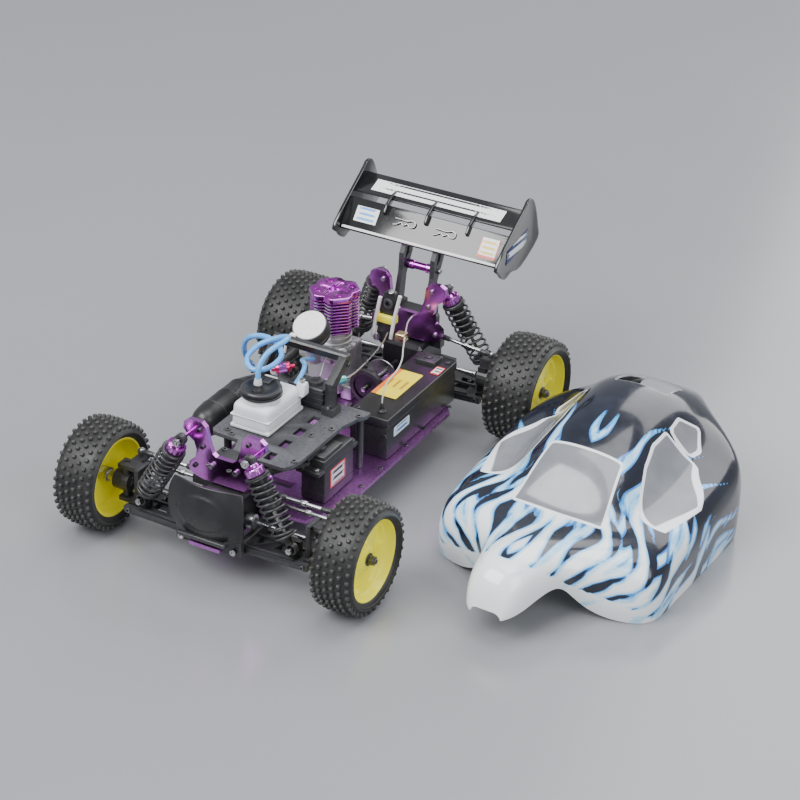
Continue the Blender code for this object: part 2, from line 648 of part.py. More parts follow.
def build_head():
    """Cooling head: a stack of fins under a notched top."""
    x, y = HEAD_CENTRE.x, HEAD_CENTRE.y
    half, chamfer = HEAD_HALF, 0.0070
    eight = [
        (x + sx * a, y + sy * b)
        for sx, sy, order in ((1, 1, 0), (-1, 1, 1), (-1, -1, 0), (1, -1, 1))
        for a, b in (((half, half - chamfer), (half - chamfer, half)) if order == 0
                     else ((half - chamfer, half), (half, half - chamfer)))
    ]
    top_thickness = 0.0060
    head = plate("cooling_head", eight, HEAD_TOP - top_thickness, top_thickness, "XY", "purple_anodised")
    core = bar("cooling_head_core", (x, y, HEAD_BOTTOM), (x, y, HEAD_TOP - 0.003), 0.0130, sides=16)
    unite(head, core)
    pitch = (HEAD_TOP - top_thickness - HEAD_BOTTOM) / HEAD_FINS
    for index in range(HEAD_FINS):
        low = HEAD_BOTTOM + 0.0004 + pitch * index
        fin = bar(f"cooling_head_fin_{index}", (x, y, low), (x, y, low + 0.0016), HEAD_HALF - 0.0006, sides=14)
        unite(head, fin)
    plug = bar("cooling_head_plug_hole", (x, y, HEAD_TOP - 0.012), (x, y, HEAD_TOP + 0.01), 0.0052, sides=14)
    return cut(head, plug)


def build_air_filter():
    """Round air filter on the carburettor, facing forwards and up."""
    length, radius = FILTER_LENGTH, FILTER_RADIUS
    profile = [
        (0.0, length), (radius - 0.0030, length), (radius, length - 0.0025), (radius, 0.0040),
        (radius - 0.0040, 0.0), (0.0065, -0.0010), (0.0065, -0.0055), (0.0, -0.0055),
    ]
    return turned("air_filter", profile, FILTER_FACE - FILTER_AXIS * length, FILTER_AXIS, "black_plastic", sides=22)


def build_pipe():
    """Tuned pipe along the right side, with its header from the engine."""
    front, rear, radius = PIPE_FRONT_Y, PIPE_REAR_Y, PIPE_RADIUS
    length = rear - front
    profile = [
        (0.0, length), (0.0045, length), (0.0050, length - 0.008), (radius - 0.002, length - 0.024),
        (radius, length - 0.034), (radius, 0.020), (radius - 0.0012, 0.010), (radius - 0.0045, 0.0025),
        (radius - 0.0085, 0.0), (0.0, 0.0),
    ]
    pipe = turned("exhaust_pipe", profile, (PIPE_X, front, PIPE_Z), (0, 1, 0), "pipe_black", sides=20)
    port_x = HEAD_CENTRE.x - 0.0150 - GAP
    header = tube("exhaust_pipe_header", smooth_route([
        (PIPE_X, rear - 0.003, PIPE_Z), (PIPE_X, rear + 0.018, PIPE_Z), (PIPE_X, rear + 0.040, PIPE_Z + 0.001),
        (PIPE_X + 0.0030, HEAD_CENTRE.y - 0.0040, PIPE_Z + 0.003), (port_x - 0.0040, HEAD_CENTRE.y, PIPE_Z + 0.004),
        ], 3) + [Vector((port_x, HEAD_CENTRE.y, PIPE_Z + 0.004))], 0.0048)
    return unite(pipe, header)


def build_fuel_line():
    """Pressure line in a loose loop from the lid's nozzle to the tuned pipe."""
    start = NOZZLE_TOP
    route = [
        start, start + Vector((0.0000, 0.0020, 0.0090)), (-0.0140, -0.0580, 0.1330), (-0.0090, -0.0430, 0.1370),
        (-0.0140, -0.0320, 0.1340), (-0.0260, -0.0300, 0.1280), (-0.0370, -0.0370, 0.1220),
        (-0.0390, -0.0480, 0.1160), (-0.0300, -0.0550, 0.1130), (-0.0190, -0.0500, 0.1150),
        (-0.0150, -0.0390, 0.1200), (-0.0230, -0.0300, 0.1240), (-0.0360, -0.0260, 0.1250),
        (-0.0480, -0.0250, 0.1220), (-0.0560, -0.0230, 0.1150), (-0.0600, -0.0190, 0.1050),
        (-0.0620, -0.0130, 0.0950), (-0.0640, -0.0060, 0.0870), (-0.0660, 0.0000, 0.0820),
        (PIPE_X, 0.0030, PIPE_Z + PIPE_RADIUS + 0.0040), (PIPE_X, 0.0030, PIPE_Z + PIPE_RADIUS + GAP),
    ]
    return tube("fuel_line", smooth_route(route, 4), 0.0021, "hose_blue")


def build_antenna():
    """Thin wire from the lid's stub back over the box to the rear gear case."""
    base = ANTENNA_BASE
    route = [
        base, base + Vector((0.0, 0.0010, 0.0060)), base + Vector((-0.0010, 0.0080, 0.0130)),
        (0.0400, 0.0400, 0.0880), (0.0330, 0.0600, 0.0860), (0.0240, 0.0780, 0.0840), (0.0160, 0.0950, 0.0830),
        (0.0100, 0.1080, 0.0840), (0.0060, 0.1180, 0.0850), (0.0050, REAR_TOWER_Y - GAP, 0.0860),
    ]
    return tube("antenna_wire", smooth_route(route, 3), 0.0006, "wire_white", resolution=1)


# ---------------------------------------------------------------- wing
def build_wing_mount():
    """Two side frames on the rear gear case, joined by a cross tube, up to the wing."""
    frame_x = (0.0120, 0.0160)
    base = 0.0820 + GAP
    slope = Vector((WING_GAP_FRONT[0] - WING_FRONT[0], WING_GAP_FRONT[1] - WING_FRONT[1])).normalized()
    under = Vector((slope.y, -slope.x)) * (WING_SHEET / 2 + GAP)
    start, end = Vector(WING_FRONT) + under, Vector(WING_GAP_FRONT) + under
    low_foot, high_foot = start.lerp(end, 0.12), start.lerp(end, 0.92)
    outline = [
        (0.1315, base), (0.1500, base), (0.1500, base + 0.0060), (0.1440, base + 0.0100), (0.1470, 0.1120),
        (0.1560, 0.1280), tuple(high_foot + Vector((0.0030, -0.0050))), tuple(high_foot), tuple(low_foot),
        (0.1410, 0.1310), (0.1400, 0.1160), (0.1355, 0.1000),
    ]
    hole = [(0.1440, 0.1245), (0.1500, 0.1290), (0.1530, 0.1400), (0.1470, 0.1350)]
    frames = []
    for side in (LEFT, RIGHT):
        low = frame_x[0] if side == LEFT else -frame_x[1]
        finish = "black_plastic" if side == LEFT else None
        label = "wing_mount" if side == LEFT else "wing_mount_right"
        frames.append(plate(label, outline, low, frame_x[1] - frame_x[0], "YZ", finish, [hole]))
    cross = bar("wing_mount_tube", (-0.0130, 0.1480, 0.1200), (0.0130, 0.1480, 0.1200), 0.0026, sides=10)
    foot = block("wing_mount_foot", (-0.0130, 0.1330, base + 0.0002), (0.0130, 0.1480, base + 0.0040))
    return unite(frames[0], frames[1], cross, foot)


def sheet_outline(front, rear, thickness):
    """A thin strip between two (y, z) points with rounded ends."""
    front, rear = Vector(front), Vector(rear)
    along = (rear - front).normalized()
    across = Vector((-along.y, along.x)) * thickness / 2
    return [tuple(front - across), tuple(rear - across), tuple(rear + along * thickness * 0.4),
            tuple(rear + across), tuple(front + across), tuple(front - along * thickness * 0.4)]


def build_wing():
    """Rear wing: main plane, flap, ribs across the slot and two end plates."""
    span = 2 * WING_HALF_SPAN
    main = plate("rear_wing", sheet_outline(WING_FRONT, WING_GAP_FRONT, WING_SHEET), -WING_HALF_SPAN, span, "YZ",
                 "wing_black")
    flap = plate("rear_wing_flap", sheet_outline(WING_GAP_REAR, WING_REAR, WING_SHEET), -WING_HALF_SPAN, span, "YZ")
    end_outline = [
        (0.1360, 0.1450), (0.1395, 0.1350), (0.1490, 0.1270), (0.1600, 0.1290), (0.1770, 0.1270),
        (0.2060, 0.1400), (0.2050, 0.1520), (0.2010, 0.1660), (0.1940, 0.1785), (0.1860, 0.1800),
        (0.1780, 0.1740),
    ]
    pieces = [flap]
    for side in (LEFT, RIGHT):
        low = WING_HALF_SPAN - 0.0005 if side == LEFT else -WING_HALF_SPAN + 0.0005 - END_PLATE
        pieces.append(plate(f"rear_wing_end_{side_name(side)}", end_outline, low, END_PLATE, "YZ"))
    rib = [
        (WING_GAP_FRONT[0] - 0.003, WING_GAP_FRONT[1] - 0.0030), (WING_GAP_REAR[0] + 0.002, WING_GAP_REAR[1] + 0.0005),
        (WING_GAP_REAR[0] + 0.004, WING_GAP_REAR[1] - 0.0040), (WING_GAP_FRONT[0] - 0.001, WING_GAP_FRONT[1] - 0.0060),
    ]
    for index, x in enumerate(WING_RIB_X):
        pieces.append(plate(f"rear_wing_rib_{index}", rib, x - 0.0009, 0.0018, "YZ"))
    return unite(main, *pieces)


# ---------------------------------------------------------------- wheels
def build_wheel(corner, side, axle_y, face, width, tyre_radius, rim_radius, bore_x):
    """Rim with its stub axle, and the tyre around it, both turned about the axle."""
    centre_z = tyre_radius
    outer = face - LIP_INSET
    inner = face - width + 0.0006
    seat = rim_radius - GAP / 2
    rim_profile = [
        (0.0, outer - 0.0060), (0.0065, outer - 0.0060), (0.0105, outer - 0.0115), (seat - 0.0045, outer - 0.0050),
        (seat - 0.0022, outer), (seat, outer), (seat, inner), (seat - 0.0022, inner),
        (seat - 0.0022, outer - 0.0095), (0.0085, outer - 0.0145), (0.0060, outer - 0.0200),
        (AXLE_RADIUS, outer - 0.0200), (AXLE_RADIUS, bore_x), (0.0, bore_x),
    ]
    tyre_inner = rim_radius + GAP / 2
    low, high = face - width, face
    shoulder = 0.0045
    tyre_profile = [
        (tyre_inner, high - 0.0022), (tyre_inner + 0.0030, high), (tyre_radius - shoulder, high - 0.0010),
        (tyre_radius - 0.0008, high - shoulder), (tyre_radius, (low + high) / 2), (tyre_radius - 0.0008, low + shoulder),
        (tyre_radius - shoulder, low + 0.0010), (tyre_inner + 0.0030, low), (tyre_inner, low + 0.0022),
    ]
    place, axis = (0.0, axle_y, centre_z), (side, 0, 0)
    rim = turned(f"{corner}_rim", rim_profile, place, axis, "yellow_rim", sides=22)
    tyre = turned(f"{corner}_tyre", tyre_profile, place, axis, "tyre_rubber", sides=28, closed=True)
    hang(pivot(f"{corner}_axle", (side * outer, axle_y, centre_z)), rim, tyre)
    return rim, tyre


# ---------------------------------------------------------------- suspension
def build_arm(corner, side, axle_y, outer_x, span_inner, span_outer, foot, foot_y):
    """Lower arm: a plate with windows, a barrel on the inner pin, a fork and the shock's lug."""
    z0, z1 = HINGE_Z - ARM_THICKNESS / 2, HINGE_Z + ARM_THICKNESS / 2
    inner = HINGE_INNER_X
    fork_root = outer_x - 0.0060
    lug = 0.0040
    in0, in1 = axle_y - span_inner, axle_y + span_inner
    out0, out1 = axle_y - span_outer, axle_y + span_outer
    outline = [
        (inner, in0 + 0.0003), (outer_x + 0.0040, out0), (outer_x + 0.0040, out0 + lug), (fork_root, out0 + lug),
        (fork_root, out1 - lug), (outer_x + 0.0040, out1 - lug), (outer_x + 0.0040, out1), (inner, in1 - 0.0003),
    ]
    mid = (inner + fork_root) / 2
    middle = axle_y
    far_window = min(foot.x - 0.0058, fork_root - 0.0050)
    windows = [
        [(inner + 0.0090, in0 + 0.0065), (inner + 0.0090, middle - 0.0015), (mid - 0.0010, middle - 0.0015)],
        [(inner + 0.0090, in1 - 0.0065), (inner + 0.0090, middle + 0.0015), (mid - 0.0010, middle + 0.0015)],
        [(mid + 0.0010, out0 + 0.0080), (far_window, out0 + 0.0085), (far_window, middle - 0.0017),
         (mid + 0.0030, middle - 0.0021)],
        [(mid + 0.0010, out1 - 0.0080), (far_window, out1 - 0.0085), (far_window, middle + 0.0017),
         (mid + 0.0030, middle + 0.0021)],
    ]
    flip = [[(side * x, y) for x, y in loop] for loop in (outline, *windows)]
    arm = plate(f"{corner}_lower_arm", flip[0], z0, z1 - z0, "XY", "black_plastic", flip[1:])
    barrel = bar(f"{corner}_arm_barrel", (side * inner, in0, HINGE_Z), (side * inner, in1, HINGE_Z), BARREL_RADIUS)
    pin = bar(f"{corner}_arm_pin", (side * inner, in0 - 0.0055, HINGE_Z), (side * inner, in1 + 0.0055, HINGE_Z),
              PIN_RADIUS, sides=10)
    towards = 1 if foot_y > foot.y else -1
    stand = box_across(f"{corner}_arm_stand", side, (foot.x - 0.0038, foot.x + 0.0038),
                       sorted((foot.y + towards * 0.0042, foot_y + towards * 0.0012)), (HINGE_Z - 0.0013, foot.z + 0.0035))
    stud = bar(f"{corner}_arm_stud", (side * foot.x, foot_y - towards * 0.0005, foot.z),
               (side * foot.x, foot.y - towards * 0.0040, foot.z), PIN_RADIUS, sides=10)
    unite(arm, barrel, pin, stand, stud)
    for end, y in (("front", out0), ("rear", out1 - lug)):
        hole = bar(f"{corner}_arm_hole_{end}", (side * outer_x, y - 0.002, HINGE_Z),
                   (side * outer_x, y + lug + 0.002, HINGE_Z), PIN_BORE)
        cut(arm, hole)
    hang(pivot(f"{corner}_arm_axis", (side * inner, axle_y, HINGE_Z)), arm)
    return arm


def hub_barrel(corner, side, axle_y, outer_x, half_length, pin_end):
    """Barrel and pin of a hub carrier in its arm's fork."""
    barrel = bar(f"{corner}_hub_barrel", (side * outer_x, axle_y - half_length, HINGE_Z),
                 (side * outer_x, axle_y + half_length, HINGE_Z), BARREL_RADIUS)
    pin = bar(f"{corner}_hub_pin", (side * outer_x, axle_y - pin_end, HINGE_Z),
              (side * outer_x, axle_y + pin_end, HINGE_Z), PIN_RADIUS, sides=10)
    return barrel, pin


def build_front_hub(corner, side):
    """C-shaped hub carrier that holds the knuckle's kingpins."""
    x, axle_z, y = KINGPIN_X, FRONT_TYRE_RADIUS, FRONT
    hub = box_across(f"{corner}_hub", side, (0.0710, 0.0748), (y - 0.008, y + 0.008), (0.0285, 0.0584), "black_plastic")
    bottom = box_across(f"{corner}_hub_bottom", side, (0.0715, x + 0.005), (y - 0.005, y + 0.005), (0.0270, 0.0304))
    top = box_across(f"{corner}_hub_top", side, (0.0715, x + 0.005), (y - 0.005, y + 0.005), (0.0548, 0.0580))
    ear = box_across(f"{corner}_hub_ear", side, (0.0780, 0.0860), (y + 0.0045, y + 0.0175), (0.0549, 0.0579))
    barrel, pin = hub_barrel(corner, side, y, FRONT_HINGE_OUTER_X, 0.0120, 0.0165)
    unite(hub, bottom, top, ear, barrel, pin)
    kingpin = bar(f"{corner}_hub_kingpin_bore", (side * x, y, 0.020), (side * x, y, 0.065), 0.0023)
    shaft = bar(f"{corner}_hub_shaft_bore", (side * 0.060, y, axle_z), (side * 0.080, y, axle_z), 0.0062)
    cut(hub, kingpin, shaft)
    hang(pivot(f"{corner}_hub_axis", (side * FRONT_HINGE_OUTER_X, y, HINGE_Z)), hub)
    return hub


def build_knuckle(corner, side):
    """Steering knuckle with kingpins, bearing bore and steering arm."""
    x, axle_z, y = KINGPIN_X, FRONT_TYRE_RADIUS, FRONT
    knuckle = bar(f"{corner}_knuckle", (side * (x - 0.004), y, axle_z), (side * (x + 0.009), y, axle_z), 0.0078,
                  "black_plastic", sides=18)
    post = bar(f"{corner}_knuckle_post", (side * x, y, 0.0304 + 0.0005), (side * x, y, 0.0548 - 0.0005), 0.0038)
    kingpin = bar(f"{corner}_knuckle_kingpin", (side * x, y, 0.0280), (side * x, y, 0.0575), 0.0018, sides=10)
    arm = box_across(f"{corner}_knuckle_arm", side, (x - 0.0052, x + 0.0012), (y + 0.003, y + STEER_ARM + 0.0035),
                     (0.0400, TIE_ROD_Z - 0.0030))
    unite(knuckle, post, kingpin, arm)
    bore = bar(f"{corner}_knuckle_bore", (side * (x - 0.020), y, axle_z), (side * (x + 0.020), y, axle_z),
               AXLE_BORE, sides=18)
    cut(knuckle, bore)
    hang(pivot(f"{corner}_kingpin", (side * x, y, axle_z)), knuckle)
    return knuckle


def build_rear_hub(corner, side):
    """Rear hub carrier with bearing bore and link ear."""
    y, axle_z, outer_x = REAR, REAR_TYRE_RADIUS, REAR_HINGE_OUTER_X
    hub = bar(f"{corner}_hub", (side * (outer_x - 0.004), y, axle_z), (side * (outer_x + 0.012), y, axle_z), 0.0085,
              "black_plastic", sides=18)
    post = box_across(f"{corner}_hub_post", side, (outer_x - 0.0035, outer_x + 0.0035), (y - 0.0060, y + 0.0060),
                      (HINGE_Z, 0.0540))
    ear = box_across(f"{corner}_hub_ear", side, (REAR_LINK_OUTER.x - 0.0085, REAR_LINK_OUTER.x + 0.0035),
                     (y - 0.0050, y + 0.0040), (0.0500, REAR_LINK_OUTER.z - 0.0034))
    barrel, pin = hub_barrel(corner, side, y, outer_x, 0.0093, 0.0155)
    unite(hub, post, ear, barrel, pin)
    bore = bar(f"{corner}_hub_bore", (side * (outer_x - 0.02), y, axle_z), (side * (outer_x + 0.03), y, axle_z),
               AXLE_BORE, sides=18)
    cut(hub, bore)
    hang(pivot(f"{corner}_hub_axis", (side * outer_x, y, HINGE_Z)), hub)
    return hub


def link_rod(name, side, inner, outer, finish):
    """Link rod with a flat ball cup at each end; inner and outer are measured on the left side."""
    inner = Vector((side * inner.x, inner.y, inner.z))
    outer = Vector((side * outer.x, outer.y, outer.z))
    rod = bar(name, inner, outer, 0.0016, finish, sides=10)
    for label, place in (("inner", inner), ("outer", outer)):
        cup = bar(f"{name}_{label}", place - Vector((0, 0, 0.0016)), place + Vector((0, 0, 0.0018)), 0.0036)
        unite(rod, cup)
    hang(pivot(f"{name}_axis", inner), rod)
    return rod


def shock_frame(side, top, foot):
    """Matrix of a shock: its origin at the top eye, its -Z down the shaft, its Y fore and aft."""
    top = Vector((side * top.x, top.y, top.z))
    foot = Vector((side * foot.x, foot.y, foot.z))
    up = (top - foot).normalized()
    across = Vector((0, 1, 0)).cross(up).normalized()
    fore = up.cross(across)
    turn = Matrix((across, fore, up)).transposed()
    return Matrix.Translation(top) @ turn.to_4x4(), (top - foot).length


def build_shock(corner, side, top, foot):
    """Shock body, rod and coil spring, made upright and then placed on their line."""
    place, length = shock_frame(side, top, foot)
    body_end = 0.54 * length
    rod_top = body_end - 0.0085
    perch = length - 0.0120
    eye = SHOCK_EYE

    body = turned(f"{corner}_shock_body", [
        (0.0, -0.0030), (0.0040, -0.0030), (0.0048, -0.0050), (0.0075, -0.0055), (0.0075, -0.0115),
        (0.0092, -0.0120), (0.0092, -0.0138), (SHOCK_BODY_RADIUS, -0.0142), (SHOCK_BODY_RADIUS, -body_end),
        (0.0, -body_end)], (0, 0, 0), (0, 0, 1), "black_plastic", sides=16)
    top_eye = bar(f"{corner}_shock_top_eye", (0, -0.0025, 0), (0, 0.0025, 0), eye, sides=14)
    eye_hole = bar(f"{corner}_shock_eye_hole", (0, -0.01, 0), (0, 0.01, 0), SHOCK_EYE_BORE, sides=10)
    bore = bar(f"{corner}_shock_bore", (0, 0, -0.0160), (0, 0, -body_end - 0.01), 0.0021, sides=10)
    unite(body, top_eye)
    cut(body, eye_hole, bore)

    rod = turned(f"{corner}_shock_rod", [
        (0.0, -rod_top), (0.0015, -rod_top), (0.0015, -perch), (0.0090, -perch), (0.0090, -perch - 0.0016),
        (0.0026, -perch - 0.0026), (0.0026, -length + 0.0025), (0.0, -length + 0.0025)],
        (0, 0, 0), (0, 0, 1), "steel", sides=14)
    foot_eye = bar(f"{corner}_shock_foot_eye", (0, -0.0025, -length), (0, 0.0025, -length), eye, sides=14)
    foot_hole = bar(f"{corner}_shock_foot_hole", (0, -0.01, -length), (0, 0.01, -length), SHOCK_FOOT_BORE, sides=12)
    unite(rod, foot_eye)
    cut(rod, foot_hole)

    start, end = 0.0138 + SPRING_WIRE + GAP, perch - SPRING_WIRE - GAP
    steps = SPRING_TURNS * 8
    coil = [
        (SPRING_RADIUS * math.cos(math.tau * i / 8), SPRING_RADIUS * math.sin(math.tau * i / 8),
         -start - (end - start) * i / steps)
        for i in range(steps + 1)
    ]
    spring = tube(f"{corner}_spring", coil, SPRING_WIRE, "black_plastic", resolution=1)

    for piece in (body, top_eye, eye_hole, bore, rod, foot_eye, foot_hole, spring):
        bpy.context.view_layer.update()
        piece.matrix_world = place @ piece.matrix_world
    bpy.context.view_layer.update()
    hang(pivot(f"{corner}_shock_axis", place.translation), body, spring, rod)
    return body, rod, spring


def build_corner(end, side):
    """Everything at one corner of the car."""
    corner = f"{end}_{side_name(side)}"
    if end == "front":
        build_arm(corner, side, FRONT, FRONT_HINGE_OUTER_X, 0.0195, 0.0175, FRONT_SHOCK_FOOT,
                  FRONT_SHOCK_FOOT.y + 0.0070)
        build_front_hub(corner, side)
        build_knuckle(corner, side)
        link_rod(f"{corner}_camber_link", side, Vector((LINK_INNER_X, FRONT + 0.0135, FRONT_LINK_Z)),
                 Vector((0.0820, FRONT + 0.0135, FRONT_LINK_Z)), "steel")
        link_rod(f"{corner}_tie_rod", side, Vector((TIE_ROD_INNER_X, FRONT + STEER_ARM, TIE_ROD_Z)),
                 Vector((KINGPIN_X - 0.002, FRONT + STEER_ARM, TIE_ROD_Z)), "steel")
        build_wheel(corner, side, FRONT, FRONT_TYRE_FACE, FRONT_TYRE_WIDTH, FRONT_TYRE_RADIUS, FRONT_RIM_RADIUS,
                    KINGPIN_X - 0.0035)
        build_shock(corner, side, FRONT_SHOCK_TOP, FRONT_SHOCK_FOOT)
    else:
        build_arm(corner, side, REAR, REAR_HINGE_OUTER_X, 0.0205, 0.0165, REAR_SHOCK_FOOT,
                  REAR_SHOCK_FOOT.y - 0.0070)
        build_rear_hub(corner, side)
        link_rod(f"{corner}_camber_link", side, REAR_LINK_INNER, REAR_LINK_OUTER, "steel")
        build_wheel(corner, side, REAR, REAR_TYRE_FACE, REAR_TYRE_WIDTH, REAR_TYRE_RADIUS, REAR_RIM_RADIUS,
                    REAR_HINGE_OUTER_X - 0.0035)
        build_shock(corner, side, REAR_SHOCK_TOP, REAR_SHOCK_FOOT)


# ---------------------------------------------------------------- body shell
SHELL_SECTIONS = (     # fore and aft place, then half a section from its lower edge to the top
    (-0.154, ((12, 20), (12, 21), (12, 22), (11, 23), (10, 24), (8, 25), (5, 25), (2, 25), (0, 25))),
    (-0.151, ((17, 22), (17, 25), (16.5, 29), (15, 33), (13, 36), (10, 38), (6, 39.5), (3, 40), (0, 40))),
    (-0.142, ((22, 24), (22, 30), (21, 36), (19, 42), (16, 46), (12, 49), (8, 50.5), (4, 51), (0, 51))),
    (-0.128, ((25, 27), (25, 34), (24, 41), (22, 47), (18, 51), (14, 54), (9, 55.5), (4.5, 56), (0, 56))),
    (-0.105, ((30, 30), (30, 36), (29, 41), (26, 46), (22, 49.5), (16, 52), (11, 53.5), (5, 54), (0, 54))),
    (-0.097, ((36, 20), (38, 28), (37, 35), (34, 41), (30, 45), (24, 49), (16, 51), (8, 52.5), (0, 53))),
    (-0.090, ((44, 8), (50, 18), (50, 28), (46, 36), (40, 42), (32, 47), (22, 50), (11, 51.5), (0, 52))),
    (-0.0845, ((60, 1), (70, 10), (70, 22), (63, 33), (53, 41), (41, 46.5), (28, 49.5), (13, 50.5), (0, 51))),
    (-0.078, ((80, 0), (84, 12), (82, 25), (74, 36), (62, 43), (47, 47.5), (33, 49.5), (16, 50), (0, 50))),
    (-0.068, ((89, 0), (90, 18), (88, 32), (80, 42), (66, 47.5), (50, 49), (35, 49.5), (17, 49.5), (0, 49))),
    (-0.055, ((90, 0), (91, 20), (90, 36), (82, 46), (67, 50), (50, 50), (38, 49.5), (19, 49), (0, 48))),
    (-0.040, ((90, 0), (91, 22), (91, 39), (82, 49), (65, 52), (50, 54), (41, 60), (22, 63), (0, 63))),
    (-0.020, ((90, 0), (91, 24), (91, 42), (82, 51), (65, 53), (51, 58), (39, 74), (24, 80), (0, 81))),
    (0.005, ((90, 0), (91, 25), (91, 45), (82, 54), (65, 56), (52, 62), (40, 80), (25, 89), (0, 91))),
    (0.030, ((90, 0), (91, 27), (91, 49), (83, 58), (66, 60), (52, 67), (39, 86), (24, 96), (0, 99))),
    (0.060, ((90, 0), (91, 28), (90, 50), (82, 60), (66, 64), (51, 72), (38, 90), (22, 99), (0, 102))),
    (0.075, ((88, 2), (89, 30), (87, 54), (78, 64), (63, 68), (49, 76), (36, 91), (21, 98), (0, 100))),
    (0.088, ((76, 34), (77, 46), (75, 57), (69, 66), (58, 71), (46, 78), (34, 89), (20, 94), (0, 96))),
    (0.103, ((60, 42), (61, 50), (59, 58), (55, 66), (48, 72), (40, 78), (30, 85), (18, 88), (0, 89))),
    (0.118, ((42, 46), (43, 52), (42, 58), (40, 64), (37, 69), (33, 74), (27, 78.5), (17, 80), (0, 80))),
    (0.130, ((29, 48), (30, 53), (30, 58), (29, 63), (28, 67), (26, 70), (22, 72), (15, 73), (0, 73))),
)


def build_shell():
    """Thin moulded body with an opening over the engine, turned a little beside the car."""
    build = bmesh.new()
    rows = [
        [build.verts.new((x * 0.001, y, z * 0.001)) for x, z in section] for y, section in SHELL_SECTIONS
    ]
    for fore, aft in zip(rows, rows[1:]):
        for i in range(len(fore) - 1):
            build.faces.new((fore[i], aft[i], aft[i + 1], fore[i + 1]))
    nose = rows[0]
    for vertex in nose[-1:]:
        vertex.co.x = 0.0
    shell = from_bmesh("body_shell", build, "shell_paint")
    modifier(shell, "MIRROR", use_axis=(True, False, False), use_clip=True, merge_threshold=0.0001)
    modifier(shell, "SOLIDIFY", thickness=SHELL_WALL, offset=-1.0)
    opening = block("body_shell_engine_opening", (-0.0220, 0.0700, 0.080), (0.0220, 0.1000, 0.130))
    cut(shell, opening)
    centre = pivot("body_shell_place", (0, 0, 0))
    hang(centre, shell, opening)
    centre.location = SHELL_CENTRE
    centre.rotation_euler = (0, 0, SHELL_TURN)
    return shell


# ---------------------------------------------------------------- build
clear_scene()
parts = new_collection("rc_buggy")
cutters = new_collection("cutters")

build_chassis()
build_front_gearbox()
build_rear_gearbox()
build_front_tower()
build_rear_tower()
build_bumper()
build_deck()
build_servo()
build_horn()
build_steering_link()
build_receiver_box()
build_receiver_lid()
build_tank()
build_tank_lid()
build_roll_bar()
build_crankcase()
build_head()
build_air_filter()
build_pipe()
build_fuel_line()
build_antenna()
build_wing_mount()
build_wing()
for which in ("front", "rear"):
    for hand in (LEFT, RIGHT):
        build_corner(which, hand)
build_shell()

origin = pivot("ground_origin", (0, 0, 0))
hang(origin, *[item for item in list(bpy.data.objects) if item.parent is None and item is not origin])
origin.location = GROUND_OFFSET
bpy.context.view_layer.update()
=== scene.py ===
"""Nitro buggy with its body shell beside it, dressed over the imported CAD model.

Lengths in the classes are millimetres in the car's own axes: the origin is on the floor midway
between the axles, the car drives towards -Y and its left side is +X. Layout turns them into the
frame's metres.
"""
from __future__ import annotations

import logging
import math
from contextlib import contextmanager
from dataclasses import dataclass
from enum import Enum
from typing import Callable, Iterator, Sequence

import bmesh
import bpy
from mathutils import Matrix, Vector


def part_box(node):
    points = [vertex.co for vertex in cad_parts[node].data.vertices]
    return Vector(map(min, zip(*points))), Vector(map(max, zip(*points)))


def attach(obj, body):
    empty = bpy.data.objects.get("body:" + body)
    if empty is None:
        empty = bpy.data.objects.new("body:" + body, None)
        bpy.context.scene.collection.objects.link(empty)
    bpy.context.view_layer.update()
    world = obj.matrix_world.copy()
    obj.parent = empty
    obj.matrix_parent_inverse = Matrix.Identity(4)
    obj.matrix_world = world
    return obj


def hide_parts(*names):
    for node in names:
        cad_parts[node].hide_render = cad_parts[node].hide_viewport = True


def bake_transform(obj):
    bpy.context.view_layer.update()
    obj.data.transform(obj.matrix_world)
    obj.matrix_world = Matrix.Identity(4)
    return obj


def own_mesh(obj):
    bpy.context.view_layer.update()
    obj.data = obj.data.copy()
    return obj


Point = tuple[float, float, float]
Outline = Sequence[tuple[float, float]]
Colour = tuple[float, float, float]

MM = 0.001
LEFT, RIGHT = 1, -1
log = logging.getLogger("buggy")
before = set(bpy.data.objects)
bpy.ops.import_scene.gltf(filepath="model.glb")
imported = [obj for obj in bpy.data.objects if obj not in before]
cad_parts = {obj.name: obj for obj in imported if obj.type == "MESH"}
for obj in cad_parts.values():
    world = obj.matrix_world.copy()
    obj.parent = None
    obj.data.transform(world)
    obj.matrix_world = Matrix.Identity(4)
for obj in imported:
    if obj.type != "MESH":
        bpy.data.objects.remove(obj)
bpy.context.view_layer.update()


# ------------------------------------------------------------------ where things are
class Layout:
    """Turns car millimetres into the frame's metres, from the places of the CAD nodes."""

    def __init__(self) -> None:
        """Read the centreline and the middle of the wheelbase from the chassis and the tyres."""
        low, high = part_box("chassis_plate")
        axles = [sum(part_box(f"{end}_left_tyre")[i][1] for i in (0, 1)) / 2 for end in ("front", "rear")]
        self.origin = Vector(((low[0] + high[0]) / 2, sum(axles) / 2, 0.0))
        self.half_base = (axles[1] - axles[0]) / 2 / MM

    def at(self, x: float, y: float, z: float) -> Vector:
        """A car place in the frame.

        Args:
            x: millimetres to the car's left.
            y: millimetres to its rear.
            z: millimetres above the floor.

        Returns:
            The point in metres.
        """
        return self.origin + Vector((x, y, z)) * MM


car = Layout()


def side_name(side: int) -> str:
    """The word for a side of the car."""
    return "left" if side == LEFT else "right"


def in_metres(profile: Outline) -> list[tuple[float, float]]:
    """The profile's (radius, height) pairs, written in millimetres, in metres."""
    return [(radius * MM, height * MM) for radius, height in profile]


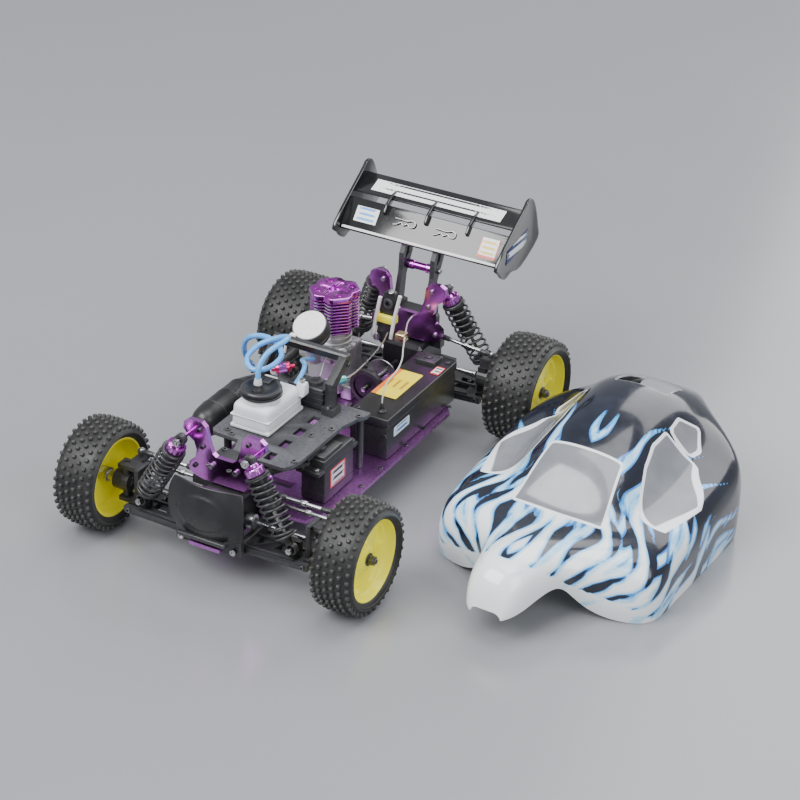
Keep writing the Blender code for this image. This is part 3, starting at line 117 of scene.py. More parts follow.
# ------------------------------------------------------------------ materials
class Graph:
    """A material being wired, with short calls for the nodes that the finishes share."""

    def __init__(self, name: str) -> None:
        """Start a material with one Principled shader."""
        self.material = bpy.data.materials.new(name)
        self.material.use_nodes = True
        self.nodes = self.material.node_tree.nodes
        self.links = self.material.node_tree.links
        self.shader = self.nodes["Principled BSDF"]
        self.place = self.nodes.new("ShaderNodeTexCoord").outputs["Object"]

    def wire(self, value: object, socket: bpy.types.NodeSocket) -> None:
        """Link an output to a socket, or set a plain value on it."""
        if isinstance(value, bpy.types.NodeSocket):
            self.links.new(value, socket)
        elif isinstance(value, tuple) and len(value) == 3 and socket.type == "RGBA":
            socket.default_value = (*value, 1.0)
        else:
            socket.default_value = value

    def mapped(self, turn: Point = (0, 0, 0), scale: Point = (1, 1, 1), centre: Vector | None = None):
        """Object coordinates centred on a point, turned and scaled."""
        made = self.nodes.new("ShaderNodeMapping")
        made.vector_type = "TEXTURE"
        made.inputs["Rotation"].default_value = turn
        made.inputs["Scale"].default_value = scale
        made.inputs["Location"].default_value = tuple(centre or (0, 0, 0))
        self.wire(self.place, made.inputs["Vector"])
        return made.outputs[0]

    def noise(self, scale: float, detail: float = 3.0, place=None, distortion: float = 0.0):
        """Noise of that many cells a metre."""
        made = self.nodes.new("ShaderNodeTexNoise")
        made.inputs["Scale"].default_value = scale
        made.inputs["Detail"].default_value = detail
        made.inputs["Distortion"].default_value = distortion
        self.wire(place if place is not None else self.place, made.inputs["Vector"])
        return made.outputs["Fac"]

    def maths(self, operation: str, *values: object, clamp: bool = False):
        """A Math node."""
        made = self.nodes.new("ShaderNodeMath")
        made.operation = operation
        made.use_clamp = clamp
        for value, socket in zip(values, made.inputs):
            self.wire(value, socket)
        return made.outputs[0]

    def spread(self, value: object, low: float, high: float, to_low: float = 0.0, to_high: float = 1.0):
        """Map a range onto another, clamped and eased."""
        made = self.nodes.new("ShaderNodeMapRange")
        made.interpolation_type = "SMOOTHSTEP"
        for number, socket in zip((value, low, high, to_low, to_high), made.inputs):
            self.wire(number, socket)
        return made.outputs[0]

    def mix(self, share: object, first: object, second: object):
        """Mix two colours."""
        made = self.nodes.new("ShaderNodeMix")
        made.data_type = "RGBA"
        self.wire(share, made.inputs[0])
        self.wire(first, made.inputs[6])
        self.wire(second, made.inputs[7])
        return made.outputs[2]

    def axes(self, place=None):
        """The three numbers of a place."""
        made = self.nodes.new("ShaderNodeSeparateXYZ")
        self.wire(place if place is not None else self.place, made.inputs[0])
        return made.outputs[0], made.outputs[1], made.outputs[2]

    def bump(self, height: object, strength: float, distance: float = 0.0004) -> None:
        """Raise the surface by a height."""
        made = self.nodes.new("ShaderNodeBump")
        made.inputs["Strength"].default_value = strength
        made.inputs["Distance"].default_value = distance
        self.wire(height, made.inputs["Height"])
        self.wire(made.outputs[0], self.shader.inputs["Normal"])

    def set(self, **values: object) -> None:
        """Set or link the shader's sockets; an underscore stands for a space."""
        for key, value in values.items():
            self.wire(value, self.shader.inputs[key.replace("_", " ")])


@dataclass(frozen=True)
class Finish:
    """A surface: its colour and how it shines, with mottling, grain and rubbed edges."""

    name: str
    colour: Colour
    roughness: float = 0.45
    metallic: float = 0.0
    second: Colour | None = None        # what the mottling goes towards
    mottle: float = 60.0                # patches a metre
    grain: float = 1400.0               # bump cells a metre
    grain_depth: float = 0.12
    wear: Colour | None = None          # what shows on rubbed edges
    coat: float = 0.0
    streak: Point = (1.0, 1.0, 1.0)     # stretch of the grain, for brushed metal

    def material(self) -> bpy.types.Material:
        """The Blender material, made on first use."""
        if self.name in bpy.data.materials:
            return bpy.data.materials[self.name]
        graph = Graph(self.name)
        self.paint(graph)
        return graph.material

    def paint(self, graph: Graph) -> None:
        """Wire the finish into a material."""
        second = self.second or tuple(min(1.0, c * 1.5 + 0.004) for c in self.colour)
        patches = graph.noise(self.mottle, 4.0)
        colour = graph.mix(graph.spread(patches, 0.35, 0.75), self.colour, second)
        if self.wear is not None:
            edge = graph.nodes.new("ShaderNodeNewGeometry").outputs["Pointiness"]
            rubbed = graph.maths("MULTIPLY", graph.spread(edge, 0.515, 0.56), graph.noise(500.0, 2.0))
            colour = graph.mix(graph.maths("MULTIPLY", rubbed, 0.8), colour, self.wear)
        fine = graph.noise(self.grain, 2.0, graph.mapped(scale=self.streak))
        rough = graph.spread(patches, 0.3, 0.8, self.roughness * 0.85, min(1.0, self.roughness * 1.2))
        graph.set(Base_Color=colour, Metallic=self.metallic, Roughness=rough)
        if self.coat:
            graph.set(Coat_Weight=self.coat, Coat_Roughness=0.08)
        graph.bump(fine, self.grain_depth, 0.0003)


@dataclass(frozen=True)
class TranslucentPlastic(Finish):
    """Milky moulded plastic that light gets into."""

    def paint(self, graph: Graph) -> None:
        """Wire the finish into a material."""
        super().paint(graph)
        graph.set(Subsurface_Weight=0.35, Subsurface_Radius=(0.004, 0.004, 0.005), Subsurface_Scale=1.0)


@dataclass(frozen=True)
class BarredLabel(Finish):
    """A printed label: a field with a border and plain bars, and no words."""

    bars: Colour = (0.1, 0.1, 0.1)
    border: Colour = (0.9, 0.9, 0.9)
    centre: Point = (0.0, 0.0, 0.0)     # metres in the frame
    half: tuple[float, float] = (5.0, 5.0)
    axes_used: str = "XY"
    bar_count: float = 6.0
    bar_share: float = 0.45
    rim: float = 0.10
    bar_reach: float = 0.7

    def paint(self, graph: Graph) -> None:
        """Wire the finish into a material."""
        super().paint(graph)
        numbers = dict(zip("XYZ", graph.axes(graph.mapped(centre=Vector(self.centre)))))
        u = graph.maths("DIVIDE", numbers[self.axes_used[0]], self.half[0] * MM)
        v = graph.maths("DIVIDE", numbers[self.axes_used[1]], self.half[1] * MM)
        ragged = graph.spread(graph.noise(900.0, 1.0), 0.2, 0.8, -0.25, 0.25)
        wave = graph.maths("FRACT", graph.maths("MULTIPLY_ADD", v, self.bar_count / 2,
                                                0.5 + self.bar_count))
        inside_u = graph.maths("LESS_THAN", graph.maths("ADD", graph.maths("ABSOLUTE", u), ragged),
                               self.bar_reach)
        inside_v = graph.maths("LESS_THAN", graph.maths("ABSOLUTE", v), 0.8)
        bar = graph.maths("MULTIPLY", graph.maths("LESS_THAN", wave, self.bar_share),
                          graph.maths("MULTIPLY", inside_u, inside_v))
        edge = graph.maths("GREATER_THAN", graph.maths("MAXIMUM", graph.maths("ABSOLUTE", u),
                                                       graph.maths("ABSOLUTE", v)), 1.0 - self.rim)
        colour = graph.mix(edge, graph.mix(bar, self.colour, self.bars), self.border)
        graph.set(Base_Color=colour)


BLACK_PLASTIC = Finish("black_plastic_moulded", (0.008, 0.008, 0.009), 0.38, grain=1800, grain_depth=0.18,
                       second=(0.017, 0.017, 0.019), wear=(0.07, 0.07, 0.075))
SATIN_BLACK = Finish("black_satin", (0.012, 0.012, 0.013), 0.30, second=(0.02, 0.02, 0.022),
                     grain_depth=0.06, wear=(0.07, 0.07, 0.075))
GREY_PLATE = Finish("deck_grey", (0.022, 0.022, 0.025), 0.33, 0.25, second=(0.04, 0.04, 0.045), grain=2200,
                    grain_depth=0.1, wear=(0.22, 0.22, 0.24))
PURPLE = Finish("purple_anodised_metal", (0.50, 0.06, 0.52), 0.20, 1.0, second=(0.58, 0.10, 0.60),
                mottle=25, grain=900, grain_depth=0.04, wear=(0.62, 0.35, 0.75))
PURPLE_SATIN = Finish("purple_satin_metal", (0.26, 0.025, 0.29), 0.30, 0.9, second=(0.34, 0.05, 0.37),
                      mottle=40, grain=1600, grain_depth=0.10, wear=(0.60, 0.33, 0.70))
SILVER = Finish("machined_silver", (0.62, 0.62, 0.63), 0.26, 1.0, second=(0.74, 0.74, 0.75), grain=700,
                grain_depth=0.08, streak=(1, 1, 6))
CAST = Finish("cast_alloy", (0.50, 0.50, 0.51), 0.45, 0.9, second=(0.62, 0.62, 0.62), grain=1300,
              grain_depth=0.35)
STEEL = Finish("plain_steel", (0.42, 0.42, 0.43), 0.30, 1.0, second=(0.55, 0.55, 0.56), mottle=120,
               grain_depth=0.08)
GOLD = Finish("zinc_yellow_steel", (0.72, 0.58, 0.30), 0.30, 1.0, second=(0.80, 0.70, 0.45), mottle=150)
BOLT_BLACK = Finish("blackened_steel", (0.035, 0.035, 0.037), 0.34, 0.8, second=(0.06, 0.06, 0.06),
                    mottle=200, wear=(0.3, 0.3, 0.3))
TYRE = Finish("tyre_rubber_soft", (0.012, 0.012, 0.012), 0.5, second=(0.024, 0.024, 0.023), mottle=90,
              grain=2600, grain_depth=0.25, wear=(0.075, 0.075, 0.072))
YELLOW = Finish("yellow_nylon", (0.95, 0.88, 0.02), 0.34, second=(0.90, 0.82, 0.03), mottle=30, grain=1500,
                grain_depth=0.06, coat=0.25)
TANK_WHITE = TranslucentPlastic("tank_nylon", (0.80, 0.83, 0.86), 0.38, second=(0.70, 0.73, 0.76),
                                mottle=45, grain_depth=0.08)
WHITE = Finish("white_plastic", (0.82, 0.82, 0.81), 0.4, second=(0.74, 0.74, 0.73))
FOAM = Finish("white_foam", (0.88, 0.88, 0.86), 0.75, second=(0.78, 0.78, 0.77), mottle=300, grain=1100,
              grain_depth=0.5)
HOSE_BLUE = TranslucentPlastic("silicone_blue", (0.10, 0.38, 0.86), 0.22, second=(0.16, 0.48, 0.92),
                               mottle=80, grain_depth=0.03)
TEAL = Finish("teal_anodised", (0.18, 0.62, 0.62), 0.25, 0.7, second=(0.3, 0.75, 0.75))
PIPE = Finish("pipe_black_heat", (0.018, 0.018, 0.019), 0.36, 0.35, second=(0.032, 0.031, 0.03), mottle=50,
              grain=1500, grain_depth=0.22, wear=(0.12, 0.12, 0.12))
WIRE = Finish("wire_sleeve", (0.62, 0.62, 0.58), 0.45, second=(0.5, 0.5, 0.47))
WING_BLACK = Finish("wing_gloss_black", (0.008, 0.008, 0.009), 0.16, second=(0.013, 0.013, 0.014), coat=0.6,
                    grain_depth=0.02)
YELLOW_BAND = Finish("yellow_band", (0.85, 0.68, 0.03), 0.4)
PIPE_GREY = Finish("clear_sleeve", (0.55, 0.57, 0.58), 0.3, second=(0.66, 0.68, 0.69))
RED = Finish("red_anodised", (0.55, 0.03, 0.12), 0.25, 0.8)


# ------------------------------------------------------------------ the bench
def only(piece: bpy.types.Object) -> None:
    """Make one object the whole selection."""
    if bpy.context.object is not None and bpy.context.object.mode != "OBJECT":
        bpy.ops.object.mode_set(mode="OBJECT")
    for item in bpy.context.selected_objects:
        item.select_set(False)
    piece.hide_set(False)
    piece.select_set(True)
    bpy.context.view_layer.objects.active = piece


def release() -> None:
    """Deselect everything before a primitive is added."""
    for item in bpy.context.selected_objects:
        item.select_set(False)


class Shape:
    """A mesh on the bench, shaped with Blender's own tools and finished at the origin."""

    def __init__(self, piece: bpy.types.Object, name: str) -> None:
        """Take an object and bake its place into its mesh."""
        piece.name = name
        piece.data.name = name
        self.piece = piece
        only(piece)
        bpy.ops.object.transform_apply(location=True, rotation=True, scale=True)

    # -------------------------------------------------------------- starts
    @classmethod
    def block(cls, name: str, low: Sequence[float], high: Sequence[float], round_by: float = 0.0,
              segments: int = 2) -> "Shape":
        """A block between two corners in metres, its edges rounded."""
        release()
        low, high = Vector(low), Vector(high)
        bpy.ops.mesh.primitive_cube_add(size=1.0, location=(low + high) / 2, scale=high - low)
        made = cls(bpy.context.object, name)
        return made.rounded(round_by, segments) if round_by else made

    @classmethod
    def rod(cls, name: str, start: Sequence[float], end: Sequence[float], radius: float, sides: int = 20,
            round_by: float = 0.0) -> "Shape":
        """A round bar between two points in metres."""
        release()
        start, end = Vector(start), Vector(end)
        turn = (end - start).to_track_quat("Z", "Y").to_euler()
        bpy.ops.mesh.primitive_cylinder_add(vertices=sides, radius=radius, depth=(end - start).length,
                                            location=(start + end) / 2, rotation=turn)
        made = cls(bpy.context.object, name)
        return made.rounded(round_by, 2) if round_by else made

    @classmethod
    def turned(cls, name: str, profile: Outline, base: Sequence[float], axis: Sequence[float],
               steps: int = 40, closed: bool = False) -> "Shape":
        """A turned piece.

        Args:
            name: the piece's name.
            profile: (radius, height) pairs in metres.
            base: the point of height nought.
            axis: the way heights rise.
            steps: facets around.
            closed: whether the profile is a loop clear of the axis.

        Returns:
            The shape.
        """
        release()
        bpy.ops.mesh.primitive_circle_add(vertices=len(profile), radius=1.0, fill_type="NOTHING")
        made = cls(bpy.context.object, name)
        with made.editing("VERT") as build:
            build.verts.ensure_lookup_table()
            for vertex, (radius, height) in zip(build.verts, profile):
                vertex.co = (radius, 0.0, height)
            if not closed:
                ends = {build.verts[0], build.verts[len(profile) - 1]}
                build.edges.remove(next(e for e in build.edges if set(e.verts) == ends))
            for vertex in build.verts:
                vertex.select_set(True)
            build.select_flush(True)
            bmesh.update_edit_mesh(made.piece.data)
            bpy.ops.mesh.spin(steps=steps, angle=math.tau, center=(0, 0, 0), axis=(0, 0, 1))
        made.cleaned()
        turn = Vector(axis).to_track_quat("Z", "Y").to_matrix().to_4x4()
        return made.moved(Matrix.Translation(base) @ turn)

    @classmethod
    def prism(cls, name: str, outline: Outline, low: float, depth: float, plane: str = "XY",
              round_by: float = 0.0, segments: int = 2) -> "Shape":
        """A flat outline given thickness.

        Args:
            name: the piece's name.
            outline: points in metres in the plane's own two axes.
            low: where the plate starts on the third axis.
            depth: its thickness.
            plane: XY, XZ or YZ.
            round_by: radius of its edges.
            segments: facets in the rounding.

        Returns:
            The shape.
        """
        release()
        bpy.ops.mesh.primitive_circle_add(vertices=len(outline), radius=1.0, fill_type="NGON")
        made = cls(bpy.context.object, name)
        lift = {"XY": Vector((0, 0, 1)), "XZ": Vector((0, 1, 0)), "YZ": Vector((1, 0, 0))}[plane]
        with made.editing("FACE") as build:
            build.verts.ensure_lookup_table()
            for vertex, (u, v) in zip(build.verts, outline):
                vertex.co = {"XY": Vector((u, v, 0)), "XZ": Vector((u, 0, v)),
                             "YZ": Vector((0, u, v))}[plane] \
                    + lift * low
            for face in build.faces:
                face.select_set(True)
            bmesh.update_edit_mesh(made.piece.data)
            bpy.ops.mesh.extrude_region_move(TRANSFORM_OT_translate={"value": lift * depth})
        made.cleaned()
        return made.rounded(round_by, segments) if round_by else made

    @classmethod
    def tube(cls, name: str, points: Sequence[Sequence[float]], radius: float, sides: int = 3,
             closed: bool = False) -> "Shape":
        """A round tube along points in metres, made from a curve."""
        release()
        curve = bpy.data.curves.new(name, "CURVE")
        curve.dimensions = "3D"
        curve.bevel_depth = radius
        curve.bevel_resolution = sides
        curve.use_fill_caps = True
        spline = curve.splines.new("POLY")
        spline.points.add(len(points) - 1)
        spline.use_cyclic_u = closed
        for point, place in zip(spline.points, points):
            point.co = (*place, 1.0)
        made = bpy.data.objects.new(name, curve)
        bpy.context.scene.collection.objects.link(made)
        only(made)
        bpy.ops.object.convert(target="MESH")
        return cls(bpy.context.object, name).cleaned()

    # -------------------------------------------------------------- edit mode
    @contextmanager
    def editing(self, kind: str = "FACE") -> Iterator[bmesh.types.BMesh]:
        """Edit mode with nothing selected, handing over the mesh."""
        only(self.piece)
        bpy.ops.object.mode_set(mode="EDIT")
        bpy.ops.mesh.select_mode(type=kind)
        bpy.ops.mesh.select_all(action="DESELECT")
        yield bmesh.from_edit_mesh(self.piece.data)
        bpy.ops.object.mode_set(mode="OBJECT")

    def with_faces(self, test: Callable[[bmesh.types.BMFace], bool], work: Callable[[], object]) -> "Shape":
        """Run an edit-mode operator on the faces that pass a test."""
        with self.editing("FACE") as build:
            for face in build.faces:
                if test(face):
                    face.select_set(True)
            bmesh.update_edit_mesh(self.piece.data)
            work()
        return self

    def inset(self, test: Callable[[bmesh.types.BMFace], bool], thickness: float,
              depth: float = 0.0) -> "Shape":
        """Inset faces, and sink them by a negative depth."""
        return self.with_faces(test, lambda: bpy.ops.mesh.inset(thickness=thickness, depth=depth))

    def cleaned(self) -> "Shape":
        """Merge doubles and turn every face outwards."""
        with self.editing("VERT"):
            bpy.ops.mesh.select_all(action="SELECT")
            bpy.ops.mesh.remove_doubles(threshold=0.000004)
            bpy.ops.mesh.normals_make_consistent(inside=False)
        return self

    # -------------------------------------------------------------- modifiers
    def modified(self, kind: str, **settings: object) -> "Shape":
        """Add a modifier and apply it."""
        only(self.piece)
        made = self.piece.modifiers.new(kind.title(), kind)
        for key, value in settings.items():
            setattr(made, key, value)
        bpy.ops.object.modifier_apply(modifier=made.name)
        return self

    def rounded(self, width: float, segments: int = 2, angle: float = 0.6) -> "Shape":
        """Round the sharp edges."""
        return self.modified("BEVEL", width=width, segments=segments, limit_method="ANGLE",
                             angle_limit=angle, harden_normals=False)

    def smoothed(self, levels: int = 2) -> "Shape":
        """Subdivide smoothly."""
        return self.modified("SUBSURF", levels=levels, render_levels=levels)

    def cut(self, *others: "Shape") -> "Shape":
        """Cut other shapes out and remove them."""
        for other in others:
            self.modified("BOOLEAN", operation="DIFFERENCE", solver="EXACT", object=other.piece)
            bpy.data.objects.remove(other.piece, do_unlink=True)
        return self

    def joined(self, *others: "Shape") -> "Shape":
        """Take other shapes into this one's mesh."""
        others = tuple(o for o in others if o is not self)
        if others:
            only(self.piece)
            for other in others:
                other.piece.select_set(True)
            bpy.ops.object.join()
        return self

    def moved(self, matrix: Matrix) -> "Shape":
        """Move, turn or mirror the mesh."""
        self.piece.data.transform(matrix)
        if matrix.determinant() < 0:
            self.piece.data.flip_normals()
        return self

    def mirrored(self, name: str) -> "Shape":
        """A copy on the car's other side."""
        piece = self.piece.copy()
        piece.data = self.piece.data.copy()
        bpy.context.scene.collection.objects.link(piece)
        across = Matrix.Translation((2 * car.origin.x, 0, 0)) @ Matrix.Scale(-1, 4, (1, 0, 0))
        return Shape(piece, name).moved(across)

    def repeated(self, places: Sequence[Matrix]) -> "Shape":
        """Copies of this mesh at each place, as one mesh in place of the original."""
        build = bmesh.new()
        for place in places:
            copy = self.piece.data.copy()
            copy.transform(place)
            build.from_mesh(copy)
            bpy.data.meshes.remove(copy)
        build.to_mesh(self.piece.data)
        build.free()
        self.piece.data.update()
        return self

    # -------------------------------------------------------------- finishing
    def dressed(self, finish: Finish, body: str, *replaced: str, sharp: float = 0.6,
                slot: str | None = None) -> "Shape":
        """Give the piece its finish and smoothing, and let it ride on a CAD body.

        Args:
            finish: its surface.
            body: the CAD body it moves with, or nothing for a piece left on no body.
            replaced: CAD nodes that it stands for.
            sharp: edges over this angle stay sharp.
            slot: not used.

        Returns:
            The shape.
        """
        piece = self.piece
        piece.data.materials.clear()
        piece.data.materials.append(finish.material())
        only(piece)
        bpy.ops.object.shade_smooth_by_angle(angle=sharp)
        if replaced:
            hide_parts(*replaced)
        if body:
            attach(piece, body)
        return self


def dress_node(name: str, finish: Finish) -> None:
    """Give a CAD node a finish."""
    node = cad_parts[name]
    for holder in node.material_slots:
        holder.material = finish.material()
    if not node.material_slots:
        node.data.materials.append(finish.material())


def facing(direction: Sequence[float], least: float = 0.9) -> Callable[[bmesh.types.BMFace], bool]:
    """A test for faces that look one way."""
    aim = Vector(direction).normalized()
    return lambda face: face.normal.dot(aim) > least


def arc(centre: tuple[float, float], radius: float, start: float, end: float,
        steps: int) -> list[tuple[float, float]]:
    """Points of an arc, angles in degrees."""
    out = []
    for i in range(steps + 1):
        turn = math.radians(start + (end - start) * i / steps)
        out.append((centre[0] + radius * math.cos(turn), centre[1] + radius * math.sin(turn)))
    return out


def eased(points: Sequence[Sequence[float]], per_span: int = 6, closed: bool = False) -> list[Vector]:
    """A smooth run of points through the given ones."""
    route = [Vector(p) for p in points]
    if closed:
        padded = [route[-1], *route, route[0], route[1]]
        spans = len(route)
    else:
        padded = [2 * route[0] - route[1], *route, 2 * route[-1] - route[-2]]
        spans = len(route) - 1
    out = []
    for i in range(spans):
        p0, p1, p2, p3 = padded[i:i + 4]
        for step in range(per_span):
            t = step / per_span
            out.append(0.5 * (2 * p1 + (p2 - p0) * t + (2 * p0 - 5 * p1 + 4 * p2 - p3) * t * t
                              + (3 * p1 - p0 - 3 * p2 + p3) * t ** 3))
    if not closed:
        out.append(route[-1])
    return out


def eased_outline(points: Outline, per_span: int = 5) -> list[tuple[float, float]]:
    """A smooth closed outline through the given points."""
    return [(p.x, p.y) for p in eased([(u, v, 0) for u, v in points], per_span, closed=True)]


def stand(place: Sequence[float], direction: Sequence[float], turn: float = 0.0,
          size: float = 1.0) -> Matrix:
    """A matrix that puts a small part at a place with its +Z along a direction."""
    aim = Vector(direction).to_track_quat("Z", "Y").to_matrix().to_4x4()
    return Matrix.Translation(place) @ aim @ Matrix.Rotation(turn, 4, "Z") @ Matrix.Scale(size, 4)


# ------------------------------------------------------------------ fasteners
class Head(Enum):
    """The kinds of screw head and nut on the car."""

    BUTTON = "button"
    CAP = "cap"
    NUT = "nut"
    WASHER = "washer"


def screw_head(kind: Head, radius: float) -> Shape:
    """One head at the origin, pointing up +Z, its seat at height nought.

    Args:
        kind: which head.
        radius: in metres.

    Returns:
        The shape.
    """
    tall = {Head.BUTTON: 0.55, Head.CAP: 1.0, Head.NUT: 0.8, Head.WASHER: 0.3}[kind] * radius
    sides = 6 if kind == Head.NUT else 18
    shape = Shape.rod("head", (0, 0, -0.0002), (0, 0, tall), radius, sides=sides)
    if kind == Head.BUTTON:
        shape.inset(facing((0, 0, 1)), radius * 0.22)
    shape.rounded(radius * (0.26 if kind == Head.BUTTON else 0.10), 2)
    if kind != Head.WASHER:
        bore = 0.45 if kind != Head.NUT else 0.55
        socket = Shape.rod("socket", (0, 0, tall * 0.45), (0, 0, tall * 2), radius * bore,
                           sides=6 if kind != Head.NUT else 14)
        shape.cut(socket)
        if kind == Head.NUT:
            shape.joined(Shape.rod("stud", (0, 0, 0), (0, 0, tall * 1.25), radius * 0.45, 12,
                                   radius * 0.08))
    return shape


class FastenerSet:
    """Screw heads and nuts on one body, gathered by kind, size and finish into one piece each."""

    def __init__(self, name: str, body: str) -> None:
        """Start a set on a CAD body."""
        self.name, self.body = name, body
        self.places: dict[tuple[Head, float, Finish], list[Matrix]] = {}

    def add(self, place: Sequence[float], direction: Sequence[float], radius: float = 2.0,
            kind: Head = Head.BUTTON, finish: Finish = BOLT_BLACK, turn: float = 0.4) -> None:
        """Put a head at a place in metres; its radius is in millimetres."""
        self.places.setdefault((kind, radius, finish), []).append(stand(place, direction, turn))

    def fit(self) -> None:
        """Build every head."""
        for index, ((kind, radius, finish), places) in enumerate(self.places.items()):
            shape = screw_head(kind, radius * MM)
            shape.piece.name = f"{self.name}_{kind.value}_{index}"
            shape.repeated(places).dressed(finish, self.body)


# ------------------------------------------------------------------ studio
@dataclass
class Studio:
    """Camera, floor and soft lights; the camera's place is in the car's own axes."""

    eye: Point = (816.26, -1388.51, 978.95)
    azimuth: float = 28.4166
    pitch: float = 29.7060
    roll: float = 1.5826
    lens: float = 109.76
    shift_up: float = 0.015

    def place_camera(self) -> None:
        """Stand the camera in front of the car's left side, looking down on it."""
        a, e, r = (math.radians(v) for v in (self.azimuth, self.pitch, self.roll))
        back = Vector((math.sin(a) * math.cos(e), -math.cos(a) * math.cos(e), math.sin(e)))
        right = Vector((math.cos(a), math.sin(a), 0.0))
        up = back.cross(right)
        across = right * math.cos(r) + up * math.sin(r)
        above = up * math.cos(r) - right * math.sin(r)
        data = bpy.data.cameras.new("camera")
        camera = bpy.data.objects.new("camera", data)
        bpy.context.scene.collection.objects.link(camera)
        turn = Matrix((across, above, back)).transposed().to_4x4()
        camera.matrix_world = Matrix.Translation(car.at(*self.eye)) @ turn
        data.lens = self.lens
        data.sensor_width = 36.0
        data.shift_y = self.shift_up
        bpy.context.scene.camera = camera

    def lay_floor(self) -> None:
        """A plain, slightly glossy floor."""
        release()
        bpy.ops.mesh.primitive_plane_add(size=9.0, location=(0, 0, -0.0002))
        floor = bpy.context.object
        floor.name = "studio_floor"
        finish = Finish("floor_pale_grey", (0.255, 0.26, 0.275), 0.20, second=(0.265, 0.27, 0.285),
                        mottle=2, grain_depth=0.0)
        floor.data.materials.append(finish.material())

    def light(self) -> None:
        """Large soft panels above and to both sides, and a pale surround."""
        centre = car.at(90, 10, 60)
        panels = (("key", (-0.9, -1.5, 1.9), 1.5, 78.0), ("fill", (1.9, -0.9, 1.5), 1.6, 36.0),
                  ("back", (0.3, 2.1, 1.5), 2.0, 46.0), ("top", (0.1, 0.1, 2.4), 1.6, 34.0))
        for name, offset, size, power in panels:
            data = bpy.data.lights.new(name, "AREA")
            data.size = size
            data.energy = power
            lamp = bpy.data.objects.new(name, data)
            bpy.context.scene.collection.objects.link(lamp)
            lamp.location = centre + Vector(offset)
            lamp.rotation_euler = (centre - lamp.location).to_track_quat("-Z", "Y").to_euler()
        world = bpy.data.worlds.new("surround")
        bpy.context.scene.world = world
        world.use_nodes = True
        world.node_tree.nodes["Background"].inputs["Color"].default_value = (0.80, 0.83, 0.88, 1.0)
        world.node_tree.nodes["Background"].inputs["Strength"].default_value = 0.55

    def build(self) -> None:
        """Set up the studio."""
        self.place_camera()
        self.lay_floor()
        self.light()


# ------------------------------------------------------------------ loose lines
@dataclass
class LooseLines:
    """The pressure hose and the antenna wire, along the same points as their CAD tubes."""

    hose_radius: float = 2.1
    wire_radius: float = 0.6
    pipe_x: float = -66.5
    nozzle: Point = (-17, -68, 115)
    stub: Point = (42.4, 13, 73)
    bend_end: Point = (-60, -19, 105)
    hose_route: tuple = (
        (-17, -66, 124), (-14, -58, 133), (-9, -43, 137), (-14, -32, 134), (-26, -30, 128), (-37, -37, 122),
        (-39, -48, 116), (-30, -55, 113), (-19, -50, 115), (-15, -39, 120), (-23, -30, 124),
        (-36, -26, 125), (-48, -25, 122), (-56, -23, 115), (-60, -19, 105), (-62, -13, 95),
        (-64, -6, 87), (-66, 0, 82))
    wire_route: tuple = (
        (42.4, 14, 79), (41.4, 21, 86), (40, 40, 88), (33, 60, 86), (24, 78, 84), (16, 95, 83),
        (10, 108, 84), (6, 118, 85), (5, 126.7, 86))

    def line(self, name: str, route: Sequence[Point], radius: float, finish: Finish, body: str, node: str,
             per_span: int) -> Shape:
        """Args:
            name: the piece's name.
            route: its points in car millimetres.
            radius: in millimetres.
            finish: its surface.
            body: the CAD body it rides on.
            node: the CAD tube it stands for.
            per_span: points between two of the route's own.

        Returns:
            The shape.
        """
        points = eased([car.at(*p) for p in route], per_span)
        shape = Shape.tube(name, points, radius * MM, sides=5)
        if body == "tank_lid":
            shape.dressed(finish, "", node, sharp=1.2)
            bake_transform(shape.piece)
        else:
            shape.dressed(finish, body, node, sharp=1.2)
        length = sum((b - a).length for a, b in zip(points, points[1:]))
        return shape

    def build(self) -> None:
        """Lay both lines."""
        hose = (self.nozzle, *self.hose_route, (self.pipe_x, 3, 78), (self.pipe_x, 3, 74.3))
        self.line("pressure_hose", hose, self.hose_radius, HOSE_BLUE, "tank_lid", "fuel_line", 8)
        wire = (self.stub, *self.wire_route)
        self.line("antenna_lead", wire, self.wire_radius, WIRE, "chassis", "antenna_wire", 6)


